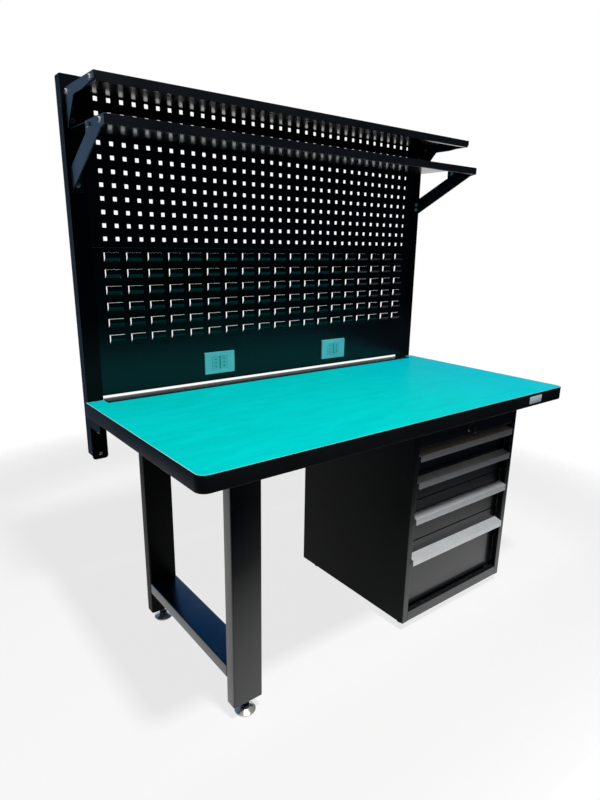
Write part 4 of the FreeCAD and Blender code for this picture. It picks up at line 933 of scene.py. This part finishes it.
def stepped_grid(tree, given):
    """The grid of points over which the punch steps."""
    inputs = {"Vertices X": given["Columns"], "Vertices Y": given["Rows"]}
    for axis, count in (("X", "Columns"), ("Y", "Rows")):
        gaps = arith(tree, "SUBTRACT", given[count], 1.0)
        inputs["Size " + axis] = arith(tree, "MULTIPLY", gaps, given["Pitch " + axis])
    grid = step(tree, "GeometryNodeMeshGrid", inputs).outputs["Mesh"]
    shift = step(tree, "ShaderNodeCombineXYZ", {"Y": given["Rise"]}).outputs[0]
    return step(tree, "GeometryNodeTransform", {"Geometry": grid, "Translation": shift}).outputs[0]


def thickened(tree, flat, thickness):
    """A flat mesh as a closed sheet."""
    inputs = {"Mesh": flat, "Offset Scale": thickness, "Individual": False}
    raised = step(tree, "GeometryNodeExtrudeMesh", inputs, mode="FACES").outputs["Mesh"]
    under = step(tree, "GeometryNodeFlipFaces", {"Mesh": flat}).outputs[0]
    inputs = {"Geometry": joined(tree, raised, under), "Distance": FILL_MERGE}
    return step(tree, "GeometryNodeMergeByDistance", inputs).outputs[0]


def punched(tree, given, hole, points):
    """A flat sheet with one hole at each point, given its thickness."""
    holes = on_points(tree, points, hole)
    real = step(tree, "GeometryNodeRealizeInstances", {"Geometry": holes}).outputs[0]
    lines = joined(tree, rectangle(tree, given["Width"], given["Height"]), real)
    flat = step(tree, "GeometryNodeFillCurve", {"Curve": lines}, mode="TRIANGLES").outputs[0]
    return thickened(tree, flat, given["Thickness"])


def stood_up(tree, geometry, given):
    """Turns a flat sheet upright so that its upper side looks to the front, at its place."""
    inputs = {"Geometry": geometry, "Translation": given["Place"], "Rotation": (math.pi / 2, 0, 0)}
    return step(tree, "GeometryNodeTransform", inputs).outputs[0]


GRID_INPUTS = {"Width": "Float", "Height": "Float", "Columns": "Int", "Rows": "Int"}
GRID_INPUTS |= {"Pitch X": "Float", "Pitch Y": "Float", "Rise": "Float"}
GRID_INPUTS |= {"Hole Width": "Float", "Hole Height": "Float", "Corner": "Float"}
GRID_INPUTS |= {"Thickness": "Float", "Place": "Vector", "Material": "Material"}

# %% [markdown]
# ### Perforated sheet
# A punch leaves square holes with slightly rounded corners. Hundreds of Boolean cuts would be
# slow and leave poor faces. Here the holes are curves, and filling them together with the outer
# outline makes the sheet and its holes at once.

# %% Tree for the perforated sheet
peg_tree, given = geometry_tree("perforated sheet", GRID_INPUTS)
square = rectangle(peg_tree, given["Hole Width"], given["Hole Height"])
inputs = {"Curve": square, "Radius": given["Corner"], "Count": 3}
eased = step(peg_tree, "GeometryNodeFilletCurve", inputs, mode="POLY").outputs[0]
peg_sheet = punched(peg_tree, given, eased, stepped_grid(peg_tree, given))
end_tree(peg_tree, stood_up(peg_tree, peg_sheet, given), given["Material"])
print("tree", peg_tree.name)

# %% [markdown]
# ### Louvred sheet
# A louvre is a tongue, slit free on three sides and pressed out so that a bin can hang on it.
# One could model it by hand. A small grid, lifted along a smooth step, keeps its lift as one
# number, and the punching grid sets it at every opening.

# %% Tree for the louvred sheet
TONGUE_ROWS = 9
TONGUE_CURL = (-1.0, -0.25)
TONGUE_INPUTS = GRID_INPUTS | {"Slit": "Float", "Lift": "Float"}
louvre_tree, given = geometry_tree("louvred sheet", TONGUE_INPUTS)
points = stepped_grid(louvre_tree, given)
opening = rectangle(louvre_tree, given["Hole Width"], given["Hole Height"])
louvre_sheet = punched(louvre_tree, given, opening, points)
tongue_width = arith(louvre_tree, "MULTIPLY_ADD", given["Slit"], -2.0, given["Hole Width"])
inputs = {"Size X": tongue_width, "Size Y": given["Hole Height"]}
inputs |= {"Vertices X": 2, "Vertices Y": TONGUE_ROWS}
blade = step(louvre_tree, "GeometryNodeMeshGrid", inputs).outputs["Mesh"]
position = step(louvre_tree, "GeometryNodeInputPosition").outputs[0]
half = arith(louvre_tree, "MULTIPLY", given["Hole Height"], 0.5)
inputs = {
    "Value": step(louvre_tree, "ShaderNodeSeparateXYZ", {0: position}).outputs["Y"],
    "From Min": arith(louvre_tree, "MULTIPLY", half, TONGUE_CURL[0]),
    "From Max": arith(louvre_tree, "MULTIPLY", half, TONGUE_CURL[1]),
    "To Max": given["Lift"],
}
bent = step(louvre_tree, "ShaderNodeMapRange", inputs, interpolation_type="SMOOTHSTEP")
raise_by = step(louvre_tree, "ShaderNodeCombineXYZ", {"Z": bent.outputs["Result"]}).outputs[0]
inputs = {"Geometry": blade, "Offset": raise_by}
curled = step(louvre_tree, "GeometryNodeSetPosition", inputs).outputs[0]
tongue = thickened(louvre_tree, curled, given["Thickness"])
whole = joined(louvre_tree, louvre_sheet, on_points(louvre_tree, points, tongue))
end_tree(louvre_tree, stood_up(louvre_tree, whole, given), given["Material"])
print("tree", louvre_tree.name)

# %% [markdown]
# ### Panels
# The real sheet is bent back all round. The trees make its flat part, a sweep makes the bent
# rim, and the two meet where the bend starts. The grids are counted from the top edge.

# %% Panels
PANEL_SHEET = 1.5 * MM
PANEL_FOLD = 25 * MM
BEND = 2.5 * MM
PEG_GRID = {"Columns": 35, "Rows": 11, "Pitch X": 38 * MM, "Pitch Y": 38 * MM}
PEG_GRID |= {"Hole Width": 12 * MM, "Hole Height": 12 * MM, "Corner": 1.2 * MM}
PEG_TOP_MARGIN = 50 * MM
LOUVRE_GRID = {"Columns": 19, "Rows": 6, "Pitch X": 70 * MM, "Pitch Y": 50 * MM}
LOUVRE_GRID |= {"Hole Width": 49 * MM, "Hole Height": 25 * MM, "Slit": 1 * MM, "Lift": 7 * MM}
LOUVRE_TOP_MARGIN = 25.5 * MM


def panel(node, tree, grid, first_row):
    """A punched sheet with its folded rim, in place of a CAD panel."""
    low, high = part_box(node)
    face = high.y - PANEL_FOLD
    size = high - low
    middle = (low + high) / 2
    rise = high.z - first_row - (grid["Rows"] - 1) * grid["Pitch Y"] / 2 - middle.z
    values = grid | {
        "Width": size.x - 2 * BEND,
        "Height": size.z - 2 * BEND,
        "Rise": rise,
        "Thickness": PANEL_SHEET,
        "Place": Vector((middle.x, face + PANEL_SHEET, middle.z)),
        "Material": panel_coat,
    }
    sheet = grown(node + "_sheet", tree, values)
    profile = [(BEND, face + PANEL_SHEET), *arc(BEND, face + BEND, BEND, 270, 180)]
    profile += [(0, high.y), (PANEL_SHEET, high.y), (PANEL_SHEET, face + BEND)]
    rim = swept(node + "_rim", "y", (low.x, low.z), (high.x, high.z), BEND, profile, True, turns=3)
    shape = bmesh.new()
    shape.from_mesh(sheet)
    shape.from_mesh(rim)
    shape.to_mesh(sheet)
    shape.free()
    smooth(sheet)
    return finished(node + "_sheet", sheet, panel_coat, (node,))


panel("pegboard_panel", peg_tree, PEG_GRID, PEG_TOP_MARGIN)
panel("louvre_panel", louvre_tree, LOUVRE_GRID, LOUVRE_TOP_MARGIN)
print("panels")

# %% [markdown]
# ## Bolts
# Hexagon bolts hold the brackets and the panels. Their places are read from the CAD node: each
# loose solid gives one bolt, its long side the direction, and its wider end the head. A
# geometry tree then sets a chamfered head, a shank and a nut on every point. Sizes in the
# table are in millimetres.

# %% Bolt places
END_REACH = 0.01 * MM


def loose_solids(node):
    """The separate solids of a CAD node as lists of points."""
    shape = merged_copy(node)
    left = dict.fromkeys(shape.verts)
    while left:
        group, fresh = [], [left.popitem()[0]]
        while fresh:
            vert = fresh.pop()
            group.append(vert.co.copy())
            for edge in vert.link_edges:
                other = edge.other_vert(vert)
                if other in left:
                    del left[other]
                    fresh.append(other)
        yield group
    shape.free()


def bolt_points(node):
    """A mesh with one point at each head's outer face, its direction and its length."""
    places, directions, lengths = [], [], []
    for points in loose_solids(node):
        low = Vector([min(p[i] for p in points) for i in range(3)])
        high = Vector([max(p[i] for p in points) for i in range(3)])
        size, middle = high - low, (low + high) / 2
        axis = max(range(3), key=lambda i: size[i])
        spread = {}
        for end in (low, high):
            flat = [p - middle for p in points if abs(p[axis] - end[axis]) < END_REACH]
            spread[end[axis]] = max(p.length_squared - p[axis] ** 2 for p in flat)
        head = max(spread, key=spread.get)
        place, direction = middle.copy(), Vector()
        place[axis] = head
        direction[axis] = 1 if head > middle[axis] else -1
        places.append(place)
        directions += list(direction)
        lengths.append(size[axis])
    mesh = bpy.data.meshes.new(node + "_points")
    mesh.from_pydata(places, [], [])
    along = mesh.attributes.new("direction", "FLOAT_VECTOR", "POINT")
    along.data.foreach_set("vector", directions)
    mesh.attributes.new("length", "FLOAT", "POINT").data.foreach_set("value", lengths)
    return mesh


# %% [markdown]
# ### Bolt tree
# A forged head has its corners chamfered. Two stacked prisms would leave faces inside, so the
# head is one prism whose top face is extruded and then scaled down.

# %% Tree for the bolts
HEX_CORNER = 0.57735
FLAT_SHARE = 0.49
CHAMFER = 0.2
SHANK_SIDES = 16
BOLT_INPUTS = dict.fromkeys(("Width", "Head", "Nut", "Tail", "Shank"), "Float")
bolt_tree, given = geometry_tree("hexagon bolts", BOLT_INPUTS | {"Material": "Material"})


def prism(tree, sides, radius, depth, top, rise):
    """A prism that hangs down from a place along its axis; the top end may be narrower."""
    inputs = {"Vertices": sides, "Radius Top": top, "Radius Bottom": radius, "Depth": depth}
    cone = step(tree, "GeometryNodeMeshCone", inputs).outputs
    foot = arith(tree, "SUBTRACT", rise, depth)
    shift = step(tree, "ShaderNodeCombineXYZ", {"Z": foot}).outputs[0]
    inputs = {"Geometry": cone["Mesh"], "Translation": shift}
    return step(tree, "GeometryNodeTransform", inputs).outputs[0], cone["Top"]


def read_off(tree, name, kind):
    """A value that each bolt's point carries."""
    inputs = {"Name": name}
    return step(tree, "GeometryNodeInputNamedAttribute", inputs, data_type=kind).outputs[0]


corner = arith(bolt_tree, "MULTIPLY", given["Width"], HEX_CORNER)
flat = arith(bolt_tree, "MULTIPLY", given["Width"], FLAT_SHARE)
bevel_depth = arith(bolt_tree, "MULTIPLY", given["Head"], CHAMFER)
body_depth = arith(bolt_tree, "SUBTRACT", given["Head"], bevel_depth)
below_crown = arith(bolt_tree, "MULTIPLY", bevel_depth, -1.0)
body, body_top = prism(bolt_tree, 6, corner, body_depth, corner, below_crown)
inputs = {"Mesh": body, "Selection": body_top, "Offset Scale": bevel_depth, "Individual": False}
crown = step(bolt_tree, "GeometryNodeExtrudeMesh", inputs, mode="FACES").outputs
inputs = {"Geometry": crown["Mesh"], "Selection": crown["Top"]}
inputs |= {"Scale": FLAT_SHARE / HEX_CORNER}
head = step(bolt_tree, "GeometryNodeScaleElements", inputs, domain="FACE").outputs[0]
nut, _ = prism(bolt_tree, 6, corner, given["Nut"], flat, 0.0)
shank, _ = prism(bolt_tree, SHANK_SIDES, given["Shank"], 1.0, given["Shank"], 0.0)
inputs = {"Vector": read_off(bolt_tree, "direction", "FLOAT_VECTOR")}
turn = step(bolt_tree, "FunctionNodeAlignRotationToVector", inputs, axis="Z").outputs[0]
length = read_off(bolt_tree, "length", "FLOAT")
places = step(bolt_tree, "GeometryNodeMeshToPoints", {"Mesh": given["Geometry"]}).outputs[0]
grow = step(bolt_tree, "ShaderNodeCombineXYZ", {"X": 1.0, "Y": 1.0, "Z": length}).outputs[0]
heads = on_points(bolt_tree, places, head, Rotation=turn)
shanks = on_points(bolt_tree, places, shank, Rotation=turn, Scale=grow)
nuts = on_points(bolt_tree, places, nut, Rotation=turn)
end_room = arith(bolt_tree, "ADD", given["Nut"], given["Tail"])
back_off = arith(bolt_tree, "SUBTRACT", end_room, length)
slide = step(bolt_tree, "ShaderNodeCombineXYZ", {"Z": back_off}).outputs[0]
inputs = {"Instances": nuts, "Translation": slide}
nuts = step(bolt_tree, "GeometryNodeTranslateInstances", inputs).outputs[0]
bolts = joined(bolt_tree, heads, shanks, nuts)
end_tree(bolt_tree, bolts, given["Material"])
print("tree", bolt_tree.name)

# %% Bolts
BOLT_SHARP = 25
BOLT_SIZES = {
    "shelf_bolts": {"Width": 13, "Head": 5.5, "Nut": 6.5, "Tail": 3, "Shank": 4},
    "panel_bolts": {"Width": 10, "Head": 4, "Nut": 5, "Tail": 3, "Shank": 3},
}
for node, sizes in BOLT_SIZES.items():
    values = {label: size * MM for label, size in sizes.items()} | {"Material": finish["zinc"]}
    mesh = grown(node + "_set", bolt_tree, values, bolt_points(node))
    smooth(mesh, BOLT_SHARP)
    finished(node + "_set", mesh, finish["zinc"], (node,))
    print(node, len(mesh.polygons), "faces")

# %% [markdown]
# ## Plain plate
# A small enamelled plate sits at the right end of the worktop's front edge. It could be a
# patch of colour on the band. A thin solid that stands a hair proud also has a rim that
# catches the light.

# %% Plain plate
PLATE_SPAN = (0.530, 0.604)
PLATE_RISE = (0.7755, 0.8015)
PLATE_CORNER = 3 * MM
PLATE_EASE = 0.4 * MM
PLATE_DEPTH = 1 * MM

low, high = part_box("worktop_edge_band")
profile = [(0, low.y + PLATE_DEPTH), (0, low.y + 0.5 * PLATE_PROUD), (PLATE_EASE, low.y)]
near, far = zip(PLATE_SPAN, PLATE_RISE)
plate = swept("blank_plate", "y", near, far, PLATE_CORNER, profile, False)
finished("blank_plate", plate, finish["label_enamel"])
print("plate", PLATE_SPAN)

# %% [markdown]
# ## Pieces that stay as CAD
# Slides, posts, the core board and other inside pieces keep their CAD mesh and only get the
# finish of their slot.

# %% CAD pieces
for node, obj in cad.items():
    obj.data.materials.clear()
    obj.data.materials.append(finish[slot_of[node]])
print("CAD finishes set")
